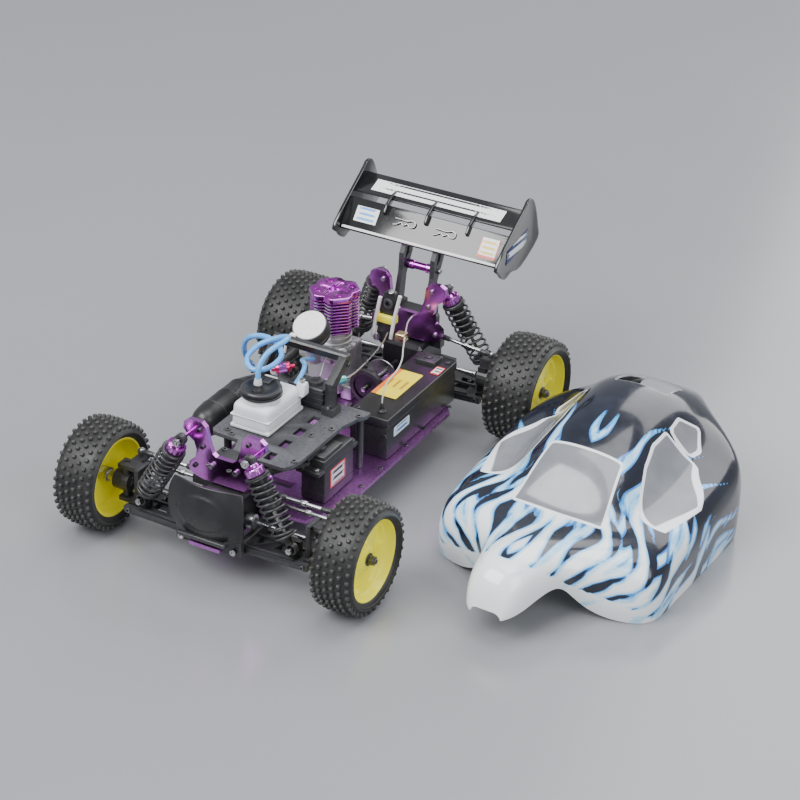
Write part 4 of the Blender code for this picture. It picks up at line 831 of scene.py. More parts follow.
# ------------------------------------------------------------------ wheels
@dataclass
class Wheel:
    """A pin-spike tyre on a yellow dish rim, with its axle stub and nut."""

    end: str
    radius: float
    width: float
    face: float
    rim_radius: float
    stub_start: float
    lip_depth: float = 3.6
    pins_round: int = 38
    pin: float = 3.3
    pin_tall: float = 2.3
    spokes: int = 5

    @property
    def axle_y(self) -> float:
        """Fore and aft place of the axle."""
        return car.half_base * (-1 if self.end == "front" else 1)

    @property
    def base(self) -> Vector:
        """The middle of the tyre's outer face on the left side."""
        return car.at(self.face, self.axle_y, self.radius)

    def drop(self, share: float) -> float:
        """How far the carcass lies below the pin tips, by share of the half width from the middle."""
        return 2.3 + 0.9 * share ** 2 + 5.0 * share ** 8

    def rows(self) -> list[tuple[float, float]]:
        """Side to side places of the pin rows as shares of the half width, with their stagger."""
        count = 7 if self.width > 38 else 6
        return [(0.80 * (2 * i / (count - 1) - 1), 0.5 * (i % 2)) for i in range(count)]

    def carcass(self) -> Shape:
        """The tyre's body, a closed ring."""
        half, rim, top = self.width / 2, self.rim_radius, self.radius
        shares = [0.94 - 0.11 * i for i in range(18)]
        crown = [(top - self.drop(abs(s)), half * (s - 1)) for s in shares]
        outer = [(rim - 1.4, -4.2), (rim - 0.4, -2.6), (rim + 1.0, -1.5), (rim + 3.2, -0.5),
                 (top - 8.0, 0.0), (top - 6.6, -0.5)]
        inner = [(r, -self.width - h) for r, h in reversed(outer)]
        loop = in_metres((*outer[1:], *crown, *inner[:-1], (rim - 1.4, 3.4 - self.width),
                             (rim - 1.4, -4.2)))
        return Shape.turned(f"{self.end}_tyre_body", loop, self.base, (1, 0, 0), steps=96, closed=True)

    def pin_shape(self) -> Shape:
        """One rubber pin, tapered and softened, open underneath."""
        release()
        bpy.ops.mesh.primitive_cube_add(size=1.0, location=(0, 0, 0))
        pin = Shape(bpy.context.object, "pin")
        size, tall = self.pin * MM, self.pin_tall * MM
        pin.moved(Matrix.Diagonal((size, size, tall + 0.0008, 1.0)))
        pin.moved(Matrix.Translation((0, 0, (tall - 0.0008) / 2)))
        pin.with_faces(facing((0, 0, 1)), lambda: bpy.ops.transform.resize(value=(0.76, 0.76, 1.0)))
        pin.with_faces(facing((0, 0, -1)), lambda: bpy.ops.mesh.delete(type="ONLY_FACE"))
        return pin.rounded(size * 0.16, 1, angle=0.8)

    def pin_places(self) -> list[Matrix]:
        """Where each pin stands."""
        places = []
        half = self.width / 2
        for share, stagger in self.rows():
            seat = self.radius - self.drop(abs(share))
            slope = (1.8 * abs(share) + 40.0 * abs(share) ** 7) / half * 0.8
            lean = math.atan(slope) * (1 if share > 0 else -1)
            for i in range(self.pins_round):
                turn = math.tau * (i + stagger) / self.pins_round
                out = Vector((0, math.cos(turn), math.sin(turn)))
                across = Vector((1, 0, 0))
                up = out * math.cos(lean) + across * math.sin(lean)
                side = across * math.cos(lean) - out * math.sin(lean)
                place = self.base + across * half * (share - 1) * MM + out * seat * MM
                turned = Matrix((side, up.cross(side), up)).transposed().to_4x4()
                places.append(Matrix.Translation(place) @ turned)
        return places

    def tyre(self) -> Shape:
        """The whole tyre."""
        pins = self.pin_shape().repeated(self.pin_places())
        tyre = self.carcass().joined(pins)
        # a fine moulding bead on the sidewall
        bead_at = self.rim_radius + 2.2
        bead = [((bead_at + 0.5 * math.cos(a)) * MM, (-0.9 + 0.5 * math.sin(a)) * MM)
                for a in (math.tau * i / 8 for i in range(8))]
        return tyre.joined(Shape.turned("bead", bead, self.base, (1, 0, 0), steps=96, closed=True))

    def rim(self) -> Shape:
        """Dish rim with recessed pockets between five broad spokes."""
        rim, lip = self.rim_radius, -self.lip_depth
        wall = -(self.width - 3.0)
        profile = [(0, -8.2), (3.6, -8.2), (8.2, -8.2), (9.2, -8.8), (10.4, -10.0), (rim * 0.6, -10.9),
                   (rim - 6.2, -11.2), (rim - 4.0, -10.2), (rim - 2.9, -8.0), (rim - 2.0, -5.4),
                   (rim - 1.5, lip), (rim + 0.2, lip + 0.3), (rim + 0.4, lip - 0.4),
                   (rim - 0.9, lip - 1.6), (rim - 1.1, wall), (rim - 2.6, wall), (rim - 3.4, -17.0),
                   (rim - 7.0, -16.2), (6.0, -16.2), (0, -16.2)]
        shape = Shape.turned(f"{self.end}_rim", in_metres(profile), self.base, (1, 0, 0), 90)
        inner, outer = 11.5, rim - 5.2
        for index in range(self.spokes):
            turn = math.tau * (index + 0.25) / self.spokes
            shaped = [(inner, -0.16), (outer * 0.72, -0.33), (outer, -0.38), (outer * 1.02, 0.0),
                      (outer, 0.38), (outer * 0.72, 0.33), (inner, 0.16)]
            outline = eased_outline([(self.base.y + r * MM * math.cos(turn + a), self.base.z + r * MM
                                      * math.sin(turn + a)) for r, a in shaped], 4)
            pocket = Shape.prism("pocket", outline, self.base.x - 14.6 * MM, 5.5 * MM, "YZ")
            # the pocket narrows as it goes in, as a moulding's does
            pocket.with_faces(facing((-1, 0, 0)), lambda: bpy.ops.transform.resize(value=(1, 0.72, 0.72)))
            shape.cut(pocket)
        return shape.rounded(0.45 * MM, 2, angle=0.55)

    def axle(self) -> tuple[Shape, Shape]:
        """The steel stub, and the black nut with its flange on the outside."""
        y, z = self.axle_y, self.radius
        stub = Shape.rod(f"{self.end}_axle_stub", car.at(self.stub_start, y, z),
                         car.at(self.face - 10, y, z), 4.0 * MM, 28, 0.3 * MM)
        hexagon = Shape.rod(f"{self.end}_hex_hub", car.at(self.face - 24, y, z),
                            car.at(self.face - 17, y, z), 6.2 * MM, 6, 0.4 * MM)
        stub.joined(hexagon)
        nut = Shape.rod(f"{self.end}_wheel_nut", car.at(self.face - 8.0, y, z),
                        car.at(self.face - 3.0, y, z), 3.9 * MM, 6, 0.35 * MM)
        flange = Shape.rod("flange", car.at(self.face - 8.3, y, z), car.at(self.face - 7.2, y, z),
                           4.9 * MM, 28, 0.3 * MM)
        tip = Shape.rod("tip", car.at(self.face - 6.0, y, z), car.at(self.face - 1.6, y, z), 1.9 * MM,
                        18, 0.4 * MM)
        return stub, nut.joined(flange, tip)

    def build(self) -> None:
        """Make the left wheel, mirror it, and put both on their hubs."""
        stub, nut = self.axle()
        pieces = (("tyre", self.tyre(), TYRE, ("tyre",), 0.5), ("rim", self.rim(), YELLOW, ("rim",), 0.6),
                  ("axle", stub, STEEL, (), 0.6), ("nut", nut, BOLT_BLACK, (), 0.6))
        for label, left, finish, nodes, sharp in pieces:
            right = left.mirrored(f"{self.end}_right_wheel_{label}")
            left.piece.name = f"{self.end}_left_wheel_{label}"
            for side, shape in ((LEFT, left), (RIGHT, right)):
                corner = f"{self.end}_{side_name(side)}"
                shape.dressed(finish, f"{corner}_wheel", *(f"{corner}_{n}" for n in nodes), sharp=sharp)
        log.info("%s wheels", self.end)


# ------------------------------------------------------------------ shock absorbers
@dataclass
class Shock:
    """Oil shock absorber: cap, threaded body, collar, coil spring, rod and ball foot."""

    end: str
    top: Point
    foot: Point
    keep: float                         # spring length left at full bump, as a share
    body_radius: float = 6.0
    spring_radius: float = 8.6
    wire: float = 0.95
    turns: int = 9
    collar: float = 13.4

    @property
    def length(self) -> float:
        """Eye to eye."""
        return (Vector(self.top) - Vector(self.foot)).length

    @property
    def place(self) -> Matrix:
        """Origin at the top eye on the left side, -Z down the shaft, Y fore and aft."""
        top, foot = car.at(*self.top), car.at(*self.foot)
        up = (top - foot).normalized()
        across = Vector((0, 1, 0)).cross(up).normalized()
        return Matrix.Translation(top) @ Matrix((across, up.cross(across), up)).transposed().to_4x4()

    def turned(self, name: str, profile: Outline, steps: int = 40) -> Shape:
        """A turned part on the shock's own axis, its profile in millimetres."""
        scaled = in_metres(profile)
        return Shape.turned(name, scaled, (0, 0, 0), (0, 0, 1), steps).moved(self.place)

    def body(self) -> Shape:
        """Threaded barrel with its lower seal cap."""
        end, r = -0.54 * self.length, self.body_radius
        profile = [(0, -10), (r - 0.4, -10.2)]
        z = -11.0
        while z > end + 7.0:
            profile += [(r, z), (r, z - 0.35), (r - 0.4, z - 0.55), (r - 0.4, z - 0.85)]
            z -= 1.1
        profile += [(r - 0.2, end + 6), (r + 0.3, end + 5.4), (r + 0.3, end + 1.2), (r - 0.8, end),
                    (2.2, end), (2.2, end + 0.6), (0, end + 0.6)]
        return self.turned(f"{self.end}_shock_barrel", profile)

    def cap(self) -> Shape:
        """Anodised top cap with flutes, and the eye that takes the tower's screw."""
        cap = self.turned("cap", [(0, -2.6), (4.2, -2.6), (4.8, -3.6), (5.0, -5.0), (6.8, -5.6),
                                  (7.2, -6.2), (7.2, -10.6), (6.8, -11.2), (0, -11.2)], 36)
        flutes = []
        for i in range(10):
            a = math.tau * i / 10
            groove = Shape.rod("flute", (7.45 * MM * math.cos(a), 7.45 * MM * math.sin(a), -12 * MM),
                               (7.45 * MM * math.cos(a), 7.45 * MM * math.sin(a), -5 * MM), 0.75 * MM, 10)
            flutes.append(groove.moved(self.place))
        first = flutes[0].joined(*flutes[1:])
        return cap.cut(first).rounded(0.18 * MM, 2)

    def eye(self) -> Shape:
        """The top eye and its ball."""
        eye = Shape.turned("eye", [(2.0 * MM, -2.5 * MM), (4.2 * MM, -2.5 * MM), (4.4 * MM, -1.8 * MM),
                                   (4.4 * MM, 1.8 * MM), (4.2 * MM, 2.5 * MM), (2.0 * MM, 2.5 * MM)],
                           (0, 0, 0), (0, 1, 0), 32, closed=True)
        return eye.moved(self.place)

    def collar_ring(self) -> Shape:
        """Knurled preload collar that the spring seats on."""
        ring = self.turned("collar", [(5.9, -11.6), (8.6, -11.6), (9.1, -12.0), (9.1, -13.4), (8.6, -13.8),
                                      (5.9, -13.8)], 40)
        back = self.place.inverted()
        return ring.inset(lambda f: abs((back @ f.calc_center_median()).z / MM + 12.7) < 0.6, 0.25 * MM,
                          -0.2 * MM)

    def spring(self) -> Shape:
        """Coil spring."""
        start, end = -self.collar - self.wire, -self.length + 12.4 + self.wire
        steps = self.turns * 22
        points = []
        for i in range(steps + 1):
            angle = math.tau * self.turns * i / steps
            points.append((self.spring_radius * MM * math.cos(angle),
                           self.spring_radius * MM * math.sin(angle),
                           (start + (end - start) * i / steps) * MM))
        spring = Shape.tube(f"{self.end}_coil", points, self.wire * MM, sides=2).moved(self.place)
        return spring

    def rod(self) -> Shape:
        """Polished rod."""
        end = -0.54 * self.length
        return self.turned(f"{self.end}_rod", [(0, end + 8), (1.5, end + 8), (1.5, -self.length + 11), (0,
                           -self.length + 11)], 24)

    def perch(self) -> Shape:
        """Spring cup and ball end at the foot."""
        length = self.length
        cup = self.turned(f"{self.end}_perch", [
            (1.6, -length + 14.4), (5.2, -length + 14.2), (5.6, -length + 12.4), (8.6, -length + 12.2),
            (9.0, -length + 11.6), (8.8, -length + 10.6), (3.6, -length + 9.2), (3.0, -length + 6),
            (3.2, -length + 4), (0, -length + 4)])
        ball = Shape.turned("ball_end", [(3.2 * MM, -2.3 * MM), (4.1 * MM, -2.3 * MM),
                                         (4.4 * MM, -1.7 * MM), (4.4 * MM, 1.7 * MM),
                                         (4.1 * MM, 2.3 * MM), (3.2 * MM, 2.3 * MM)],
                            (0, 0, -length * MM), (0, 1, 0), 32, closed=True).moved(self.place)
        return cup.joined(ball)

    def build(self) -> None:
        """Make the left shock, mirror it and put both on their bodies."""
        parts = (("barrel", self.body().joined(self.eye()), SATIN_BLACK, "shock_body", ("shock_body",),
                  0.5),
                 ("cap", self.cap(), PURPLE, "shock_body", (), 0.5),
                 ("collar", self.collar_ring(), BLACK_PLASTIC, "shock_body", (), 0.5),
                 ("coil", self.spring(), SATIN_BLACK, "shock_body", ("spring",), 1.2),
                 ("rod", self.rod(), STEEL, "shock_rod", (), 0.5),
                 ("foot", self.perch(), BLACK_PLASTIC, "shock_rod", ("shock_rod",), 0.5))
        for label, left, finish, body, nodes, sharp in parts:
            right = left.mirrored(f"{self.end}_right_shock_{label}")
            left.piece.name = f"{self.end}_left_shock_{label}"
            for side, shape in ((LEFT, left), (RIGHT, right)):
                corner = f"{self.end}_{side_name(side)}"
                shape.dressed(finish, f"{corner}_{body}", *(f"{corner}_{n}" for n in nodes), sharp=sharp)
                if label == "coil":
                    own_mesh(shape.piece)
        log.info("%s shocks", self.end)


# ------------------------------------------------------------------ painted body shell
@dataclass(frozen=True)
class FlamePaint(Finish):
    """Gloss paint driven by three fields on the mesh: flames, windows and their trim."""

    def paint(self, graph: Graph) -> None:
        """Wire the finish into a material."""
        flame = self.field_of(graph, "flame_depth")
        window = self.field_of(graph, "window_depth")
        patches = graph.noise(45.0, 4.0)
        dark = graph.mix(graph.spread(patches, 0.3, 0.8), (0.006, 0.008, 0.016), (0.014, 0.018, 0.034))
        blue = graph.mix(graph.spread(graph.noise(70.0, 3.0), 0.35, 0.65), (0.03, 0.17, 0.52),
                         (0.06, 0.36, 0.78))
        pale = graph.mix(graph.spread(graph.noise(60.0, 3.0), 0.35, 0.65), (0.30, 0.62, 0.90),
                         (0.52, 0.78, 0.95))
        colour = graph.mix(graph.spread(flame, -0.35, 0.35), dark, blue)
        colour = graph.mix(graph.spread(flame, 0.7, 2.2), colour, pale)
        colour = graph.mix(graph.spread(flame, 3.0, 6.0), colour, (0.86, 0.90, 0.93))
        trim = graph.spread(window, -2.1, -1.7)
        colour = graph.mix(trim, colour, (0.82, 0.86, 0.9))
        glass = graph.mix(graph.spread(patches, 0.3, 0.8), (0.17, 0.18, 0.20), (0.22, 0.23, 0.25))
        pane = graph.spread(window, -0.25, 0.25)
        colour = graph.mix(pane, colour, glass)
        rough = graph.spread(graph.noise(160.0, 3.0), 0.3, 0.8, 0.13, 0.24)
        graph.set(Base_Color=colour, Roughness=rough, Coat_Weight=0.5, Coat_Roughness=0.06)
        height = graph.maths("ADD", graph.maths("MULTIPLY", trim, 0.5), graph.noise(900.0, 2.0))
        graph.bump(height, 0.06, 0.0004)

    @staticmethod
    def field_of(graph: Graph, name: str):
        """A number stored on the mesh."""
        node = graph.nodes.new("ShaderNodeAttribute")
        node.attribute_name = name
        return node.outputs["Fac"]


def inside_by(point: tuple[float, float], polygon: Outline) -> float:
    """How far a point is inside a polygon, negative outside."""
    px, py = point
    best, within = 1e9, False
    for (ax, ay), (bx, by) in zip(polygon, (*polygon[1:], polygon[0])):
        dx, dy = bx - ax, by - ay
        t = max(0.0, min(1.0, ((px - ax) * dx + (py - ay) * dy) / (dx * dx + dy * dy)))
        best = min(best, math.hypot(px - ax - t * dx, py - ay - t * dy))
        if (ay > py) != (by > py) and px < ax + (py - ay) / (by - ay) * dx:
            within = not within
    return best if within else -best


@dataclass
class BodyShell:
    """The painted shell: swept sections, windows, engine opening and its own flame pattern."""

    centre: tuple[float, float] = (213, 25)
    turn: float = -2.7
    wall: float = 1.6
    sections: tuple = (
        (-154, ((12, 20), (12, 21), (12, 22), (11, 23), (10, 24), (8, 25), (5, 25), (2, 25), (0, 25))),
        (-151, ((17, 22), (17, 25), (16.5, 29), (15, 33), (13, 36), (10, 38), (6, 39.5), (3, 40), (0, 40))),
        (-142, ((22, 24), (22, 30), (21, 36), (19, 42), (16, 46), (12, 49), (8, 50.5), (4, 51), (0, 51))),
        (-128, ((25, 27), (25, 34), (24, 41), (22, 47), (18, 51), (14, 54), (9, 55.5), (4.5, 56), (0, 56))),
        (-105, ((30, 30), (30, 36), (29, 41), (26, 46), (22, 49.5), (16, 52), (11, 53.5), (5, 54),
                (0, 54))),
        (-97, ((36, 20), (38, 28), (37, 35), (34, 41), (30, 45), (24, 49), (16, 51), (8, 52.5), (0, 53))),
        (-90, ((44, 8), (50, 18), (50, 28), (46, 36), (40, 42), (32, 47), (22, 50), (11, 51.5), (0, 52))),
        (-84.5, ((60, 1), (70, 10), (70, 22), (63, 33), (53, 41), (41, 46.5), (28, 49.5), (13, 50.5),
                 (0, 51))),
        (-78, ((80, 0), (84, 12), (82, 25), (74, 36), (62, 43), (47, 47.5), (33, 49.5), (16, 50), (0, 50))),
        (-68, ((89, 0), (90, 18), (88, 32), (80, 42), (66, 47.5), (50, 49), (35, 49.5), (17, 49.5),
               (0, 49))),
        (-55, ((90, 0), (91, 20), (90, 36), (82, 46), (67, 50), (50, 50), (38, 49.5), (19, 49), (0, 48))),
        (-40, ((90, 0), (91, 22), (91, 39), (82, 49), (65, 52), (50, 54), (41, 60), (22, 63), (0, 63))),
        (-20, ((90, 0), (91, 24), (91, 42), (82, 51), (65, 53), (51, 58), (39, 74), (24, 80), (0, 81))),
        (5, ((90, 0), (91, 25), (91, 45), (82, 54), (65, 56), (52, 62), (40, 80), (25, 89), (0, 91))),
        (30, ((90, 0), (91, 27), (91, 49), (83, 58), (66, 60), (52, 67), (39, 86), (24, 96), (0, 99))),
        (60, ((90, 0), (91, 28), (90, 50), (82, 60), (66, 64), (51, 72), (38, 90), (22, 99), (0, 102))),
        (75, ((88, 2), (89, 30), (87, 54), (78, 64), (63, 68), (49, 76), (36, 91), (21, 98), (0, 100))),
        (88, ((76, 34), (77, 46), (75, 57), (69, 66), (58, 71), (46, 78), (34, 89), (20, 94), (0, 96))),
        (103, ((60, 42), (61, 50), (59, 58), (55, 66), (48, 72), (40, 78), (30, 85), (18, 88), (0, 89))),
        (118, ((42, 46), (43, 52), (42, 58), (40, 64), (37, 69), (33, 74), (27, 78.5), (17, 80), (0, 80))),
        (130, ((29, 48), (30, 53), (30, 58), (29, 63), (28, 67), (26, 70), (22, 72), (15, 73), (0, 73))),
    )
    windshield: Outline = ((-35, -53), (35, -53), (28, -12), (-28, -12))          # across, fore and aft
    side_window: Outline = ((-32, 53), (8, 54), (30, 62), (42, 66), (38, 86), (20, 84), (2, 76))     # y, z
    rear_quarter: Outline = ((45, 86), (59, 88), (71, 78), (56, 70), (47, 70))
    opening_low: Point = (-22, 70, 80)
    opening_high: Point = (22, 100, 130)

    @property
    def place(self) -> Matrix:
        """From the shell's own metres to the frame."""
        return Matrix.Translation(car.at(*self.centre, 0)) @ Matrix.Rotation(math.radians(self.turn), 4,
                                                                             "Z")

    def flame(self, y: float, z: float, girth: float) -> float:
        """How far a place is inside a flame, in millimetres.

        Args:
            y: fore and aft.
            z: height.
            girth: distance over the surface from the centreline.

        Returns:
            Positive inside a tongue.
        """
        rise = (y + 150) * 0.60 + (z - 30) * 0.70
        sway = girth + 9.0 * math.sin(rise / 17.0 + 1.3) + 4.5 * math.sin(rise / 8.0 + girth / 17.0)
        broad = 1.0 - abs(2.0 * ((sway / 33.0 + 0.5) % 1.0) - 1.0)
        long = 42.0 + 112.0 * broad ** 1.15 + 14.0 * math.sin(girth / 31.0 + 0.8) - rise
        weave = girth * 0.94 + 7.5 * math.sin(rise / 11.0 + 3.9) + 8.0
        narrow = 1.0 - abs(2.0 * ((weave / 19.0) % 1.0) - 1.0)
        short = 40.0 + 70.0 * narrow ** 1.15 - rise
        tongue = max(long / 7.5, short / 8.5)
        # loose licks ahead of the tongues, and dark ones that eat back into the pale part
        drift = (rise - 96.0 + 11.0 * math.sin(girth / 12.0)) / 19.0
        thread = 1.0 - abs(2.0 * ((sway / 16.5 + 0.1) % 1.0) - 1.0)
        loose = (thread - 0.52 - 0.42 * drift ** 2) * 7.0
        lick = 1.0 - abs(2.0 * ((sway / 16.5 + 0.27 + rise / 90.0) % 1.0) - 1.0)
        notch = abs(((rise + 9.0 * math.sin(girth / 13.0)) % 44.0) - 22.0) / 22.0
        gap = (lick - 0.30 - 0.62 * notch) * 9.0 if rise > 30.0 else -3.0
        return max(-6.0, min(8.0, max(min(tongue, 2.0 - gap * 1.5), loose)))

    def window(self, across: float, y: float, z: float) -> float:
        """How far a place is inside a window, in millimetres."""
        best = -9.0
        if z > 45:
            best = max(best, inside_by((across, y), self.windshield))
        if abs(across) > 30 and z > 50:
            best = max(best, inside_by((y, z), self.side_window), inside_by((y, z), self.rear_quarter))
        return max(-9.0, min(9.0, best))

    def skin(self) -> Shape:
        """The outer surface of the left half, mirrored and smoothed."""
        rows, columns = len(self.sections), len(self.sections[0][1])
        release()
        bpy.ops.mesh.primitive_grid_add(x_subdivisions=columns - 1, y_subdivisions=rows - 1, size=2.0)
        shape = Shape(bpy.context.object, "painted_shell")
        with shape.editing("VERT") as build:
            build.verts.ensure_lookup_table()
            for vertex in build.verts:
                column = round((vertex.co.x + 1) / 2 * (columns - 1))
                row = round((vertex.co.y + 1) / 2 * (rows - 1))
                y, section = self.sections[row]
                vertex.co = Vector((section[column][0], y, section[column][1])) * MM
            bmesh.update_edit_mesh(shape.piece.data)
        shape.modified("MIRROR", use_axis=(True, False, False), use_clip=True, merge_threshold=0.0002)
        shape.cleaned()
        low, high = self.limits(shape)
        shape.smoothed(3)
        # smoothing draws the rim in a little, so the skin is let out to its own size again
        new_low, new_high = self.limits(shape)
        for vertex in shape.piece.data.vertices:
            for i in range(3):
                share = (vertex.co[i] - new_low[i]) / (new_high[i] - new_low[i])
                vertex.co[i] = low[i] + share * (high[i] - low[i])
        return shape

    @staticmethod
    def limits(shape: Shape) -> tuple[Vector, Vector]:
        """Lowest and highest corners of a mesh."""
        points = [v.co for v in shape.piece.data.vertices]
        return (Vector([min(p[i] for p in points) for i in range(3)]),
                Vector([max(p[i] for p in points) for i in range(3)]))

    def store_fields(self, shape: Shape) -> None:
        """Write the flame and window fields onto the mesh."""
        mesh = shape.piece.data
        girths = self.girths()
        places = [vertex.co / MM for vertex in mesh.vertices]
        flames = [self.flame(y, z, self.girth_at(girths, abs(x), y, z)) for x, y, z in places]
        windows = [self.window(x, y, z) for x, y, z in places]
        for name, values in (("flame_depth", flames), ("window_depth", windows)):
            field_made = mesh.attributes.new(name, "FLOAT", "POINT")
            field_made.data.foreach_set("value", values)

    def girths(self) -> list[tuple[float, list[tuple[float, float, float]]]]:
        """Each section as (across, height, distance over the surface) from the centreline out."""
        out = []
        for y, section in self.sections:
            run, last, rows = 0.0, section[-1], []
            for x, z in reversed(section):
                run += math.hypot(x - last[0], z - last[1])
                last = (x, z)
                rows.append((x, z, run))
            out.append((y, rows))
        return out

    @staticmethod
    def girth_at(girths: list, x: float, y: float, z: float) -> float:
        """Distance over the surface from the centreline, between the nearest sections."""
        def on(rows: list[tuple[float, float, float]]) -> float:
            best, found = 1e9, 0.0
            for (ax, az, ar), (bx, bz, br) in zip(rows, rows[1:]):
                dx, dz = bx - ax, bz - az
                t = max(0.0, min(1.0, ((x - ax) * dx + (z - az) * dz) / (dx * dx + dz * dz)))
                away = math.hypot(x - ax - t * dx, z - az - t * dz)
                if away < best:
                    best, found = away, ar + t * (br - ar)
            return found
        for (y0, low), (y1, high) in zip(girths, girths[1:]):
            if y <= y1:
                share = max(0.0, min(1.0, (y - y0) / (y1 - y0)))
                return on(low) * (1 - share) + on(high) * share
        return on(girths[-1][1])

    def build(self) -> None:
        """Make the shell."""
        shape = self.skin()
        self.store_fields(shape)
        shape.modified("SOLIDIFY", thickness=self.wall * MM, offset=-1.0)
        low, high = Vector(self.opening_low) * MM, Vector(self.opening_high) * MM
        shape.cut(Shape.block("opening", low, high, 3 * MM, 3))
        shape.moved(self.place)
        shape.dressed(FlamePaint("flame_paint", (0.01, 0.01, 0.02)), "body_shell", "body_shell", sharp=0.7)
        log.info("body shell")


